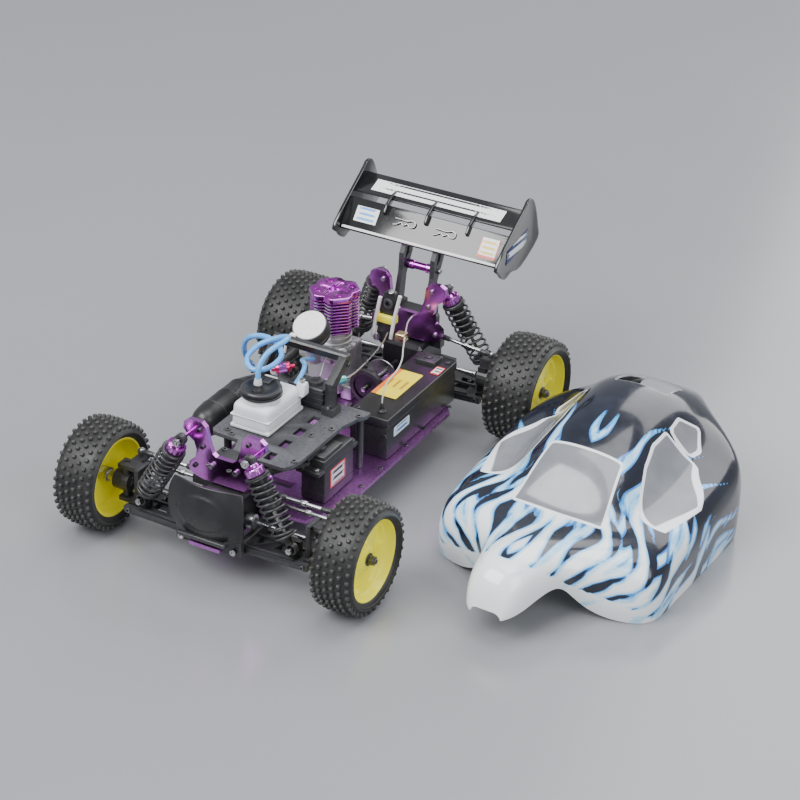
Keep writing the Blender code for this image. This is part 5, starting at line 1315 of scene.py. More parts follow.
# ------------------------------------------------------------------ rear wing
@dataclass
class RearWing:
    """Two-element wing with ribs, end plates, its stripe and the two body clips."""

    half_span: float = 74.0
    sheet: float = 2.4
    front: tuple[float, float] = (143.0, 138.5)
    gap_front: tuple[float, float] = (160.0, 159.0)
    gap_rear: tuple[float, float] = (165.0, 162.5)
    rear: tuple[float, float] = (186.5, 170.5)
    rib_x: tuple[float, ...] = (-37.0, 0.0, 37.0)
    plate: float = 2.8
    plate_outline: tuple = ((136, 145), (139.5, 135), (149, 127), (160, 129), (177, 127), (206, 140),
                            (205, 152), (201, 166), (194, 178.5), (186, 180), (178, 174))

    def element(self, name: str, start: tuple[float, float], end: tuple[float, float], sag: float) -> Shape:
        """One aerofoil across the span, with a rounded nose and a little camber."""
        a, b = Vector(start), Vector(end)
        along = (b - a).normalized()
        normal = Vector((-along.y, along.x))
        thick = self.sheet / 2
        upper, lower = [], []
        for i in range(13):
            t = i / 12
            bow = -sag * math.sin(math.pi * t)
            half = thick * (0.55 + 0.45 * math.sin(math.pi * min(1.0, 0.15 + t)))
            middle = a.lerp(b, t) + normal * bow
            upper.append(middle + normal * half)
            lower.append(middle - normal * half)
        outline = [*upper, b + along * thick * 0.4, *reversed(lower), a - along * thick * 0.5]
        shift = car.at(0, 0, 0)
        flat = [(shift.y + p.x * MM, shift.z + p.y * MM) for p in outline]
        span = self.half_span - self.plate
        shape = Shape.prism(name, flat, car.at(-span, 0, 0).x, 2 * span * MM, "YZ")
        return shape.rounded(0.25 * MM, 2, angle=0.9)

    def end_plate(self, side: int) -> Shape:
        """An end plate with rounded edges and a shallow pressed border."""
        outline = eased_outline([(y, z) for y, z in self.plate_outline], 3)
        shift = car.at(0, 0, 0)
        flat = [(shift.y + u * MM, shift.z + v * MM) for u, v in outline]
        outer = side * self.half_span
        low = car.at(min(outer, outer - side * self.plate), 0, 0).x
        shape = Shape.prism(f"wing_end_plate_{side_name(side)}", flat, low, self.plate * MM, "YZ")
        shape.inset(facing((side, 0, 0)), 1.6 * MM, -0.35 * MM)
        return shape.rounded(0.4 * MM, 2, angle=0.6)

    def rib(self, x: float) -> Shape:
        """A rib that carries the flap on the main plane."""
        shift = car.at(0, 0, 0)
        low, high = Vector(self.gap_front), Vector(self.gap_rear)
        outline = [(low.x - 6, low.y - 6.2), (low.x + 1, low.y - 1), (high.x + 7, high.y + 1.4),
                   (high.x + 8, high.y + 4.5), (high.x - 1, high.y + 3.5), (low.x - 4, low.y + 2.5),
                   (low.x - 8, low.y - 3)]
        flat = [(shift.y + u * MM, shift.z + v * MM) for u, v in outline]
        return Shape.prism("wing_rib", flat, car.at(x - 1.1, 0, 0).x, 2.2 * MM, "YZ", 0.4 * MM)

    def strip(self, name: str, start: tuple[float, float], end: tuple[float, float], low: float,
              high: float, span: tuple[float, float], lift: float) -> Shape:
        """A thin printed film on an element, between two shares of its chord."""
        a, b = Vector(start), Vector(end)
        along = (b - a).normalized()
        normal = Vector((-along.y, along.x))
        shift = car.at(0, 0, 0)
        ring = [a.lerp(b, low) + normal * lift, a.lerp(b, (low + high) / 2) + normal * (lift - 0.12),
                a.lerp(b, high) + normal * lift, a.lerp(b, high) + normal * (lift + 0.25),
                a.lerp(b, (low + high) / 2) + normal * (lift + 0.13),
                a.lerp(b, low) + normal * (lift + 0.25)]
        flat = [(shift.y + p.x * MM, shift.z + p.y * MM) for p in ring]
        return Shape.prism(name, flat, car.at(span[0], 0, 0).x, (span[1] - span[0]) * MM, "YZ")

    def clip(self, x: float) -> Shape:
        """A sprung body clip lying on the main plane: a straight leg and a waved leg round a loop."""
        base = Vector(self.front).lerp(Vector(self.gap_front), 0.60)
        spread = [(-9, 2.4), (-4, 2.2), (2, 2.0), (6, 3.2), (9.5, 2.2), (10.5, 0), (9.5, -2.2), (6.4, -2.6),
                  (3.2, -0.6), (0, -2.4), (-3.0, -0.6), (-6, -2.6), (-9.5, -3.8)]
        along = (Vector(self.gap_front) - Vector(self.front)).normalized()
        points = []
        for u, v in spread:
            point = base + along * (v * 0.9)
            points.append(car.at(x + u * 0.95, point.x, point.y) + Vector((0, -along.y,
                                                                           along.x)) * 2.1 * MM)
        return Shape.tube("body_clip", eased(points, 5), 0.55 * MM, sides=2)

    def build(self) -> None:
        """Make the wing."""
        main = self.element("wing_main_plane", self.front, self.gap_front, 0.0)
        flap = self.element("wing_flap", self.gap_rear, self.rear, 0.6)
        ribs = [self.rib(x) for x in self.rib_x]
        plates = [self.end_plate(LEFT), self.end_plate(RIGHT)]
        main.joined(flap, *ribs, *plates).dressed(WING_BLACK, "chassis", "rear_wing", sharp=0.55)
        middle = Vector(self.gap_rear).lerp(Vector(self.rear), 0.45)
        stripe = self.strip("wing_stripe", self.gap_rear, self.rear, 0.16, 0.72, (-58, 58),
                            self.sheet / 2 + 0.02)
        stripe.dressed(BarredLabel("stripe_print", (0.84, 0.85, 0.86), 0.3, bars=(0.02, 0.02, 0.025),
                                   border=(0.84, 0.85, 0.86), centre=tuple(car.at(0, middle.x, middle.y)),
                                   half=(58.0, 9.0), bar_count=3.0, bar_share=0.28, bar_reach=0.72),
                                   "chassis")
        edge = self.strip("wing_edge_line", self.front, self.gap_front, 0.02, 0.09, (-70, 70),
                          self.sheet / 2 + 0.02)
        edge.dressed(WHITE, "chassis")
        for name, x0, x1, share, bars, border in (
                ("wing_badge_round", -62, -42, (0.30, 0.78), (0.05, 0.3, 0.75), (0.85, 0.88, 0.9)),
                ("wing_badge_block", 50, 66, (0.18, 0.80), (0.75, 0.55, 0.05), (0.7, 0.12, 0.08))):
            at = Vector(self.front).lerp(Vector(self.gap_front), sum(share) / 2)
            badge = self.strip(name, self.front, self.gap_front, *share, (x0, x1), self.sheet / 2 + 0.03)
            badge.dressed(BarredLabel(f"{name}_print", (0.82, 0.84, 0.86), 0.35, bars=bars, border=border,
                                      centre=tuple(car.at((x0 + x1) / 2, at.x, at.y)),
                                      half=((x1 - x0) / 2, 5.5), bar_count=4.0), "chassis")
        plate = Shape.prism("wing_plate_badge", [(car.at(0, y, 0).y, car.at(0, 0, z).z) for y, z in
                                                 ((150, 139), (186, 145), (187, 156), (152, 150))],
                            car.at(self.half_span - 0.25, 0, 0).x, 0.3 * MM, "YZ", 0.05 * MM)
        plate.dressed(BarredLabel("plate_badge_print", (0.03, 0.05, 0.16), 0.3, bars=(0.84, 0.86, 0.9),
                                  border=(0.03, 0.05, 0.16), centre=tuple(car.at(0, 168, 147.5)),
                                  half=(19.0, 8.0), axes_used="YZ", bar_count=2.0, bar_share=0.62,
                                  bar_reach=0.75), "chassis")
        for x in (-18.0, 18.0):
            self.clip(x).dressed(STEEL, "chassis", sharp=1.2)
        log.info("rear wing")


# ------------------------------------------------------------------ on the deck and the chassis
def thin_label(name: str, low: Point, high: Point, plane: str, finish: Finish,
               body: str = "chassis") -> None:
    """A printed film between two corners in car millimetres, with softened corners."""
    a, b = car.at(*low), car.at(*high)
    u, v, w = {"XY": (0, 1, 2), "XZ": (0, 2, 1), "YZ": (1, 2, 0)}[plane]
    r = 1.0 * MM
    outline = []
    for cu, cv, start in ((b[u] - r, b[v] - r, 0), (a[u] + r, b[v] - r, 90), (a[u] + r, a[v] + r, 180),
                          (b[u] - r, a[v] + r, 270)):
        outline += arc((cu, cv), r, start, start + 90, 4)
    Shape.prism(name, outline, a[w], b[w] - a[w], plane).dressed(finish, body)


@dataclass
class FuelTank:
    """Milky tank with a moulded seam, screw lugs, round cap with its lever, and hose fittings."""

    low: Point = (-33.4, -81, 76.3)
    high: Point = (0, -31, 97)
    cap: tuple[float, float] = (-17, -63)
    cap_radius: float = 15.8
    lid_base: float = 100.3

    def body(self) -> None:
        """The tank with its foot flange, neck and rear lug."""
        low, high = Vector(self.low), Vector(self.high)
        tank = Shape.block("tank_body", car.at(*low), car.at(*high), 0.0)
        tank.with_faces(facing((0, 0, 1)), lambda: bpy.ops.transform.resize(value=(0.93, 0.95, 1.0)))
        tank.rounded(4.6 * MM, 5)
        seam = Shape.block("seam", car.at(low.x + 0.1, low.y + 0.1, 86.4),
                           car.at(high.x - 0.1, high.y - 0.1, 87.6), 0.0)
        seam.modified("BEVEL", width=4.4 * MM, segments=4, limit_method="ANGLE", affect="EDGES")
        foot = Shape.block("foot", car.at(low.x, low.y, low.z), car.at(high.x, high.y, low.z + 3.2),
                           1.2 * MM, 3)
        neck = Shape.turned("neck", in_metres((
            (0, -3), (14.6, -3), (14.4, 0.6), (13.9, 1.2), (13.9, 3.0), (0, 3.0))),
            car.at(*self.cap, high.z), (0, 0, 1), 48)
        ear = Shape.prism("ear", [(car.at(0, y, 0).y, car.at(0, 0, z).z) for y, z in
                                  ((-38, 90), (-29.2, 90), (-29.2, 97), (-30, 100), (-32, 101),
                                   (-35, 99.6))],
                          car.at(-4, 0, 0).x, 7.5 * MM, "YZ", 0.9 * MM, 3)
        tank.joined(seam, foot, neck, ear).dressed(TANK_WHITE, "chassis", "fuel_tank")
        bolts = FastenerSet("tank", "chassis")
        bolts.add(car.at(-0.2, -32.4, 100.4), (0, -0.2, 1), 2.2, Head.CAP, STEEL)
        bolts.fit()

    def lid(self) -> None:
        """The flip lid, its gasket ring, its spring hinge and its bent nozzle; all ride on the lid."""
        base, r = self.lid_base, self.cap_radius
        disc = Shape.turned("tank_cap", in_metres((
            (0, 0), (r - 0.6, 0), (r, 0.5), (r, 1.8), (r - 1.0, 2.2), (r - 1.0, 2.7), (r - 0.5, 3.1),
            (r - 0.5, 5.0), (r - 1.3, 5.8), (r - 3.4, 6.0), (r - 4.2, 5.5), (6.0, 5.3), (4.8, 6.0),
            (0, 6.0))),
            car.at(*self.cap, base), (0, 0, 1), 64)
        bar = Shape.block("lever", car.at(-20, -58, base + 5.2), car.at(-14, -45.2, base + 7.0),
                          0.7 * MM, 3)
        hinge = Shape.rod("hinge", car.at(-21.4, -45.4, base + 2), car.at(-12.6, -45.4, base + 2),
                          2.0 * MM, 24, 0.4 * MM)
        boss = Shape.turned("boss", in_metres((
            (0, 5), (4.4, 5), (4.0, 7.4), (3.4, 8.2), (3.2, 10.4), (0, 10.6))), car.at(-17, -68, base),
            (0, 0, 1), 32)
        disc.joined(bar, hinge, boss).dressed(BLACK_PLASTIC, "tank_lid", "tank_lid")
        sleeve = Shape.turned("hose_fitting", in_metres((
            (0, 0), (3.1, 0), (3.3, 1.0), (2.9, 3.4), (2.5, 5.2), (2.1, 5.4), (0, 5.4))),
            car.at(-17, -68, base + 9.2), (0, 0.04, 1), 28)
        sleeve.dressed(PIPE_GREY, "tank_lid")
        ring = Shape.tube("lid_ring_pull", eased([car.at(-17 + 4.6 * math.cos(a), -49.4 - 3.2 * math.sin(a),
                                                         base + 7.4 + 2.2 * math.sin(a)) for a in
                                                  (math.tau * i / 12 for i in range(12))], 3,
                                                  closed=True), 0.65 * MM,
                          2, closed=True)
        ring.dressed(WHITE, "tank_lid", sharp=1.2)

    def filter_and_loop(self) -> None:
        """The second hose from the tank to the carburettor, with its inline filter."""
        supply = eased([car.at(*p) for p in ((-6, -33, 97), (-5, -28, 101), (-6, -21, 104), (-11, -12, 103),
                                             (-19, -2, 99), (-25, 10, 92), (-29, 24, 85),
                                             (-31, 34, 80))], 7)
        Shape.tube("supply_hose", supply, 1.9 * MM, 5).dressed(HOSE_BLUE, "chassis", sharp=1.2)
        body = Shape.turned("fuel_filter", in_metres((
            (0, -9), (1.6, -9), (1.8, -6), (3.6, -5.4), (4.0, -4.8), (4.0, 4.8), (3.6, 5.4), (1.8, 6),
            (1.6, 9), (0, 9))), car.at(-21, -26.5, 103.5), (0.75, 0.5, 0.15), 32)
        body.dressed(RED, "chassis")
        clamp = Shape.turned("fuel_filter_band", in_metres((
            (3.9, -3.0), (4.4, -3.0), (4.4, 3.0), (3.9, 3.0))), car.at(-21, -26.5, 103.5),
            (0.75, 0.5, 0.15), 32, True)
        clamp.dressed(PURPLE, "chassis")

    def build(self) -> None:
        """Make the tank and what is on it."""
        self.body()
        self.lid()
        self.filter_and_loop()
        log.info("fuel tank")


@dataclass
class RadioBox:
    """Labels, lid screws, switch and antenna grommet of the receiver box, with its tub and lid."""

    low: Point = (20.3, 3, 31.3)
    high: Point = (53, 112, 66)

    def tub(self) -> None:
        """Tub and lid with rounded edges, a stepped lid and its ribs."""
        (x0, y0, z0), (x1, y1, z1) = self.low, self.high
        tub = Shape.block("radio_box_tub", car.at(x0, y0, z0), car.at(x1, y1, 57.9), 0.9 * MM, 3)
        tub.dressed(BLACK_PLASTIC, "chassis", "receiver_box")
        lid = Shape.block("radio_box_lid", car.at(x0 - 0.8, y0 - 0.8, 58.3),
                          car.at(x1 + 0.8, y1 + 0.8, z1), 0.0)
        lid.inset(facing((0, 0, 1)), 1.5 * MM, -0.3 * MM)
        lid.rounded(0.9 * MM, 3)
        rim = Shape.block("rim", car.at(x0 - 0.8, y0 - 0.8, 60.4), car.at(x1 + 0.8, y1 + 0.8, 61.0),
                          0.2 * MM, 1)
        stub = Shape.turned("stub", in_metres(((0, -1), (3.2, -1), (3.2, 0.7), (2.2, 1.4),
                                               (1.5, 3.0), (1.2, 6.9), (0, 6.9))),
                            car.at(42.4, 13, 66), (0, 0, 1), 24)
        switch = Shape.block("switch", car.at(26, 95, 65), car.at(43, 108, 69.2), 0.8 * MM, 3)
        key = Shape.block("key", car.at(31.5, 99, 69), car.at(37.5, 104, 70), 0.4 * MM, 2)
        lid.joined(rim, stub, switch, key).dressed(BLACK_PLASTIC, "chassis", "receiver_box_lid")

    def labels(self) -> None:
        """Generic barred labels."""
        z = self.high[2]
        thin_label("box_label_yellow", (24.5, 34, z), (42.5, 78, z + 0.2), "XY", BarredLabel(
            "yellow_label_print", (0.88, 0.66, 0.02), 0.35, bars=(0.42, 0.26, 0.02),
            border=(0.90, 0.72, 0.03), centre=tuple(car.at(33.5, 56, z)), half=(9.0, 22.0),
            axes_used="YX", bar_count=7.0, bar_share=0.34, rim=0.05))
        thin_label("box_label_orange_edge", (20.8, 34, z), (24.4, 78, z + 0.2), "XY", Finish(
            "orange_edge", (0.78, 0.16, 0.02), 0.35))
        thin_label("box_label_patch", (44.5, 84, z), (52.0, 97, z + 0.2), "XY", BarredLabel(
            "patch_print", (0.82, 0.82, 0.82), 0.35, bars=(0.02, 0.02, 0.02), border=(0.70, 0.05, 0.04),
            centre=tuple(car.at(48.2, 90.5, z)), half=(3.8, 6.5), bar_count=3.0, rim=0.2))
        thin_label("box_label_side", (53.05, 13, 46.5), (53.25, 37, 54.5), "YZ", BarredLabel(
            "side_label_print", (0.72, 0.84, 0.92), 0.35, bars=(0.05, 0.20, 0.5), border=(0.78, 0.88, 0.94),
            centre=tuple(car.at(53, 25, 50.5)), half=(12.0, 4.0), axes_used="YZ", bar_count=2.0,
            bar_share=0.5))

    def build(self) -> None:
        """Make the box."""
        self.tub()
        self.labels()
        screws = FastenerSet("radio_box", "chassis")
        for x, y in ((24, 8), (49, 106), (24, 106)):
            screws.add(car.at(x, y, 66.0), (0, 0, 1), 1.9)
        screws.add(car.at(51.5, 1.9, 52), (0, -1, 0), 1.6)
        screws.fit()
        log.info("radio box")


@dataclass
class SteeringServo:
    """Ribbed servo case with flanges, screws, sticker and the screw on its horn."""

    low: Point = (25, -76, 31.3)
    high: Point = (45, -34, 70)

    def build(self) -> None:
        """Make the servo."""
        (x0, y0, z0), (x1, y1, z1) = self.low, self.high
        case = Shape.block("servo_case", car.at(x0, y0, z0), car.at(x1, y1, z1 - 3.0), 1.0 * MM, 3)
        top = Shape.block("servo_top", car.at(x0 + 1, y0 + 1, z1 - 4.0), car.at(x1 - 1, y1 - 14, z1),
                          1.2 * MM, 3)
        ears = [Shape.block("ear", car.at(x0, a, 57.5), car.at(x1, b, 60.5), 0.6 * MM, 2)
                for a, b in ((y0 - 8, y0 + 1), (y1 - 1, y1 + 7))]
        seams = [Shape.block("seam", car.at(x0 - 0.2, y0 - 0.2, z), car.at(x1 + 0.2, y1 + 0.2, z + 0.5),
                             0.1 * MM, 1)
                 for z in (38.0, 61.5)]
        case.joined(top, *ears, *seams).dressed(BLACK_PLASTIC, "chassis", "steering_servo")
        thin_label("servo_sticker", (45.0, -68, 40), (45.2, -46, 56), "YZ", BarredLabel(
            "servo_print", (0.80, 0.80, 0.80), 0.35, bars=(0.03, 0.03, 0.03), border=(0.62, 0.06, 0.05),
            centre=tuple(car.at(45, -57, 48)), half=(11.0, 8.0), axes_used="YZ", bar_count=3.0, rim=0.16))
        screws = FastenerSet("servo", "chassis")
        for y in (y0 - 5, y1 + 4):
            for x in (x0 + 4, x1 - 4):
                screws.add(car.at(x, y, 60.5), (0, 0, 1), 2.2, Head.CAP, STEEL)
        screws.fit()
        horn = FastenerSet("servo_horn", "servo_horn")
        horn.add(car.at(35, -66, 72.7), (0, 0, 1), 2.0, Head.CAP, STEEL)
        horn.fit()
        log.info("steering servo")


@dataclass
class Deck:
    """Screws and the throttle linkage on the top deck, and the screws on the carry bar's feet."""

    top: float = 76.0

    def hardware(self) -> None:
        """Screw heads in the deck and on the bar's feet."""
        screws = FastenerSet("deck", "chassis")
        for x, y in ((8, -97), (-32, -86), (33.5, -100), (33, -46), (25, -62), (-39, -20.5), (40.5, -19),
                     (-26, -90)):
            screws.add(car.at(x, y, self.top), (0, 0, 1), 2.2)
        for x in (20.0, -38.5):
            for dy in (-4.6, 4.6):
                screws.add(car.at(x, -25 + dy, 82.0), (0, 0, 1), 1.5, Head.CAP, STEEL)
            screws.add(car.at(x + (3.6 if x > 0 else -3.6), -6, 109), (1 if x > 0 else -1, 0, 0), 1.8)
        screws.add(car.at(5, -108, self.top), (0, 0, 1), 2.0, Head.BUTTON, STEEL)
        screws.fit()

    def throttle(self) -> None:
        """Second servo's cover with its ribs and boss, the throttle rod with its collar, and the brake rod.
        """
        cover = Shape.block("throttle_servo", car.at(-17, -27, 76.4), car.at(14, -11, 94), 1.6 * MM, 3)
        ribs = [Shape.block("rib", car.at(-17.3, -27.3, z), car.at(14.3, -10.7, z + 1.1), 0.4 * MM, 2)
                for z in (80, 85, 90)]
        cap = Shape.turned("servo_boss", in_metres(((0, 0), (6, 0), (5.6, 2.4), (3, 3), (0, 3))),
                           car.at(3, -19, 94), (0, 0, 1), 32)
        cover.joined(*ribs, cap).dressed(BLACK_PLASTIC, "chassis")
        rod = Shape.tube("throttle_rod", eased([car.at(*p) for p in ((4, -15, 97.5), (-4, 4, 97),
                                                                     (-13, 24, 94), (-22, 40, 88),
                                                                     (-26, 48, 84))], 6), 0.75 * MM, 2)
        brake = Shape.tube("brake_rod", eased([car.at(*p) for p in ((9, -17, 97.5), (17, 2, 92),
                                                                    (12, 40, 86), (4, 80, 82),
                                                                    (0, 96, 84))], 6), 0.7 * MM, 2)
        rod.joined(brake).dressed(STEEL, "chassis", sharp=1.2)
        collar = Shape.turned("rod_collar", in_metres(((0.8, -4), (3.0, -4), (3.3, -3.4),
                                                       (3.3, 3.4), (3.0, 4), (0.8, 4))),
                              car.at(15.6, -3.5, 93.0), (0.35, 0.9, -0.25), 28, True)
        collar.dressed(TEAL, "chassis")

    def build(self) -> None:
        """Make the deck's fittings."""
        self.hardware()
        self.throttle()
        log.info("deck fittings")


# ------------------------------------------------------------------ engine and exhaust
@dataclass
class Engine:
    """Two-stroke engine: finned head, ribbed case, carburettor and air filter."""

    x: float = -38.5
    y: float = 79.0
    half: float = 18.5
    chamfer: float = 10.0
    top: float = 120.0
    bottom: float = 88.0
    fins: int = 10
    face: Point = (-33.5, 32, 110.3)
    face_radius: float = 14.4

    def outline(self, shrink: float, notch: float) -> list[tuple[float, float]]:
        """The head's plan: a square with cut corners, its sides hollowed a little."""
        half, cut = self.half - shrink, self.chamfer
        quarter = [(half, -half + cut), (half, -(half - cut) * 0.55), (half - notch, 0.0),
                   (half, (half - cut) * 0.55), (half, half - cut)]
        out = []
        for turn in range(4):
            for u, v in quarter:
                for _ in range(turn):
                    u, v = -v, u
                out.append((car.at(self.x + u, 0, 0).x, car.at(0, self.y + v, 0).y))
        return out

    def head(self) -> None:
        """Fins with bright cut edges under a hollowed top."""
        cap_low = self.top - 5.2
        cap = Shape.prism("engine_head", self.outline(0.0, 2.0), cap_low * MM, 5.2 * MM, "XY", 0.9 * MM, 3)
        middle = car.at(self.x, self.y, 0)
        cuts = [Shape.rod("cut", (middle.x + s * 9.5 * MM + 0, middle.y + t * 9.5 * MM,
                                  (self.top - 1.6) * MM),
                          (middle.x + s * 9.5 * MM, middle.y + t * 9.5 * MM, (self.top + 3) * MM),
                          2.6 * MM, 24)
                for s, t in ((1, 1), (1, -1), (-1, 1), (-1, -1))]
        cuts.append(Shape.rod("plug_well", middle + Vector((0, 0, (self.top - 12) * MM)),
                              middle + Vector((0, 0, (self.top + 3) * MM)), 5.6 * MM, 32))
        for dx, dy in ((1, 0), (0, 1)):
            cuts.append(Shape.block("groove", (middle.x - (13 if dx else 2.2) * MM,
                                               middle.y - (13 if dy else 2.2)
                                               * MM, (self.top - 1.5) * MM),
                                    (middle.x + (13 if dx else 2.2) * MM,
                                     middle.y + (13 if dy else 2.2) * MM, (self.top + 2) * MM), 1.0 * MM,
                                     3))
        cap.cut(*cuts).rounded(0.25 * MM, 2, 0.5)
        pitch = (cap_low - self.bottom) / self.fins
        fin = Shape.prism("fin", self.outline(0.5, 2.2), self.bottom * MM, 1.35 * MM, "XY", 0.3 * MM, 2)
        fin.repeated([Matrix.Translation((0, 0, pitch * i * MM)) for i in range(self.fins)])
        core = Shape.rod("core", middle + Vector((0, 0, self.bottom * MM)),
                         middle + Vector((0, 0, (self.top - 3)
                         * MM)), 12.6 * MM, 40)
        head = cap.joined(fin, core).dressed(PURPLE, "chassis", "cooling_head", sharp=0.5)
        mesh = head.piece.data
        mesh.materials.append(SILVER.material())
        for polygon in mesh.polygons:
            flat = max(abs(polygon.normal.x), abs(polygon.normal.y))
            if polygon.center.z < cap_low * MM - 0.0002 and flat > 0.88:
                away = Vector((polygon.center.x - middle.x, polygon.center.y - middle.y)).length
                if away > 0.0140:
                    polygon.material_index = 1
        plug = Shape.turned("glow_plug", in_metres((
            (0, 0), (4.2, 0), (4.2, 1.5), (2.6, 2.2), (1.8, 6.0), (1.2, 8.6), (0, 8.8))),
            middle + Vector((0, 0, (self.top - 12) * MM)), (0, 0, 1), 24)
        plug.dressed(GOLD, "chassis")

    def case(self) -> None:
        """Crankcase with ribs, neck and feet, and the carburettor on its intake."""
        x, y = self.x, self.y
        case = Shape.block("engine_case", car.at(x - 15, y - 17, 36), car.at(x + 15, y + 20, 72),
                           3.0 * MM, 4)
        ribs = [Shape.block("rib", car.at(x - 14.9, y - 17 + 5 + 7 * i, 44),
                            car.at(x + 15, y - 17 + 6.6 + 7 * i, 73.4), 0.5 * MM, 2) for i in range(4)]
        neck = Shape.turned("neck", in_metres((
            (0, 69), (14.6, 69), (14.2, 72), (13.4, 73), (13.4, 75), (14.2, 75.6), (14.2, 77), (13.4, 77.6),
            (13.4, 79.6), (14.2, 80.2), (14.2, 81.6), (13.4, 82.2), (13.4, 84.4), (13.9, 85),
            (13.9, 87.6), (0, 87.6))),
            car.at(x, y, 0), (0, 0, 1), 48)
        feet = [Shape.block("foot", car.at(x + s * 18 - 5, y - 12, 31.4),
                            car.at(x + s * 18 + 5, y + 14, 43), 1.0 * MM, 2) for s in (LEFT, RIGHT)]
        case.joined(*ribs, neck, *feet).dressed(CAST, "chassis", "crankcase", sharp=0.5)
        carb = Shape.turned("carburettor", in_metres((
            (0, -2), (6.2, -2), (6.6, 0), (6.6, 5), (7.6, 6), (7.6, 11), (6.0, 12), (5.6, 17), (0, 17))),
            car.at(x + 5, 39.5, 79.0), (0, -0.05, 1), 32)
        barrel = Shape.rod("barrel", car.at(x - 8, 44, 80), car.at(x + 20, 44, 80), 5.4 * MM, 28, 0.6 * MM)
        needle = Shape.rod("needle", car.at(x + 18, 44, 80), car.at(x + 25, 44, 80), 2.6 * MM, 18, 0.4 * MM)
        tunnel = Shape.rod("intake", car.at(x + 2, 44, 76), car.at(x, y - 10, 68), 6.4 * MM, 28, 0.4 * MM)
        carb.joined(barrel, needle, tunnel).dressed(CAST, "chassis", sharp=0.5)
        screws = FastenerSet("engine", "chassis")
        for s in (LEFT, RIGHT):
            for dy in (-8, 10):
                screws.add(car.at(x + s * 19.5, y + dy, 43), (0, 0, 1), 2.2, Head.CAP, STEEL)
        for dx, z in ((-10, 42), (10, 42), (-10, 66), (10, 66)):
            screws.add(car.at(x + dx, y - 17.1, z), (0, -1, 0), 1.9, Head.CAP, STEEL)
        screws.fit()

    def filter(self) -> None:
        """Black filter cup with its white face, rubber neck and zip tie."""
        axis = Vector((0, -0.52, 0.854)).normalized()
        face, r = car.at(*self.face), self.face_radius
        cup = Shape.turned("air_filter_cup", in_metres((
            (0, -21.5), (6.5, -21.5), (6.5, -18.0), (7.4, -17.2), (r - 3.2, -15.8), (r - 0.8, -13.4),
            (r, -11), (r, -9.6), (r - 0.5, -9.2), (r - 0.5, -8.2), (r, -7.8), (r, -2.0), (r - 0.6, -0.7),
            (r - 1.4, -0.4), (0, -0.4))), face, axis, 56)
        cup.dressed(BLACK_PLASTIC, "chassis", "air_filter", sharp=0.5)
        pad = Shape.turned("air_filter_face", in_metres((
            (0, -1.0), (r - 1.5, -1.0), (r - 1.3, -0.5), (r - 1.9, -0.05), (r - 4, 0), (0, 0))), face,
            axis, 56)
        pad.dressed(FOAM, "chassis", sharp=0.8)
        rim_way = Vector((-0.52, -0.726, -0.442))
        start = face - axis * 2.0 * MM + rim_way * (r + 0.6) * MM
        tail = [start, start + Vector((-3, -3, -1.5)) * MM, start + Vector((-4, -5, -6)) * MM,
                start + Vector((-4.5, -6, -12)) * MM]
        tie = Shape.tube("filter_tie", eased(tail, 6), 1.1 * MM, 3)
        lock = Shape.block("lock", start - Vector((3, 2.2, 2.6)) * MM,
                           start + Vector((2.4, 1.8, 2.6)) * MM, 0.8 * MM, 3)
        tie.joined(lock).dressed(WHITE, "chassis", sharp=0.9)

    def build(self) -> None:
        """Make the engine."""
        self.head()
        self.case()
        self.filter()
        log.info("engine")


@dataclass
class Exhaust:
    """Tuned pipe with end cones, seams and pressure fitting, header, coupler and clamps."""

    x: float = -66.5
    z: float = 61.0
    front: float = -72.0
    rear: float = 20.0
    radius: float = 13.0

    def build(self) -> None:
        """Make the exhaust."""
        r, length = self.radius, self.rear - self.front
        profile = [(0, 0), (r - 8.5, 0), (r - 5.4, 1.2), (r - 2.8, 4.0), (r - 1.2, 8.5), (r - 0.4, 14),
                   (r - 0.3, 19), (r, 19.4), (r, 20.8), (r - 0.3, 21.2), (r - 0.2, 40), (r, 40.4),
                   (r, 41.6), (r - 0.2, 42), (r - 0.2, length - 34), (r, length - 33.6),
                   (r, length - 32.4), (r - 0.5, length - 32), (r - 2.4, length - 24), (6.4, length - 9),
                   (5.4, length - 7), (5.4, length), (0, length)]
        pipe = Shape.turned("tuned_pipe", in_metres(profile),
                            car.at(self.x, self.front, self.z), (0, 1, 0), 64)
        header = eased([car.at(*p) for p in (
            (self.x, self.rear - 3, self.z), (self.x, self.rear + 18, self.z),
            (self.x, self.rear + 40, self.z + 1), (self.x + 3, 75, self.z + 3), (-57.8, 79, self.z + 4),
            (-54.0, 79, self.z + 4))], 8)
        tube = Shape.tube("header", header, 4.8 * MM, 6)
        nipple = Shape.rod("nipple", car.at(self.x, 3, self.z + r - 1.5),
                           car.at(self.x, 3, self.z + r + 2.6), 1.5
                           * MM, 16, 0.3 * MM)
        pipe.joined(tube, nipple).dressed(PIPE, "chassis", "exhaust_pipe", sharp=0.5)
        sleeve = Shape.turned("pipe_sleeve", in_metres((
            (5.0, 0), (6.8, 0), (7.1, 1), (7.1, 15), (6.8, 16), (5.0, 16))),
            car.at(self.x, self.rear - 4, self.z), (0, 1, 0), 40, True)
        sleeve.dressed(PIPE_GREY, "chassis")
        clamps = [Shape.turned("clamp", in_metres(((7.0, -1.2), (7.6, -1.2), (7.6, 1.2),
                                                   (7.0, 1.2))),
                               car.at(self.x, self.rear - 4 + h, self.z), (0, 1, 0), 40,
                               True) for h in (3, 13)]
        clamps[0].joined(clamps[1]).dressed(STEEL, "chassis", sharp=0.5)
        log.info("exhaust")




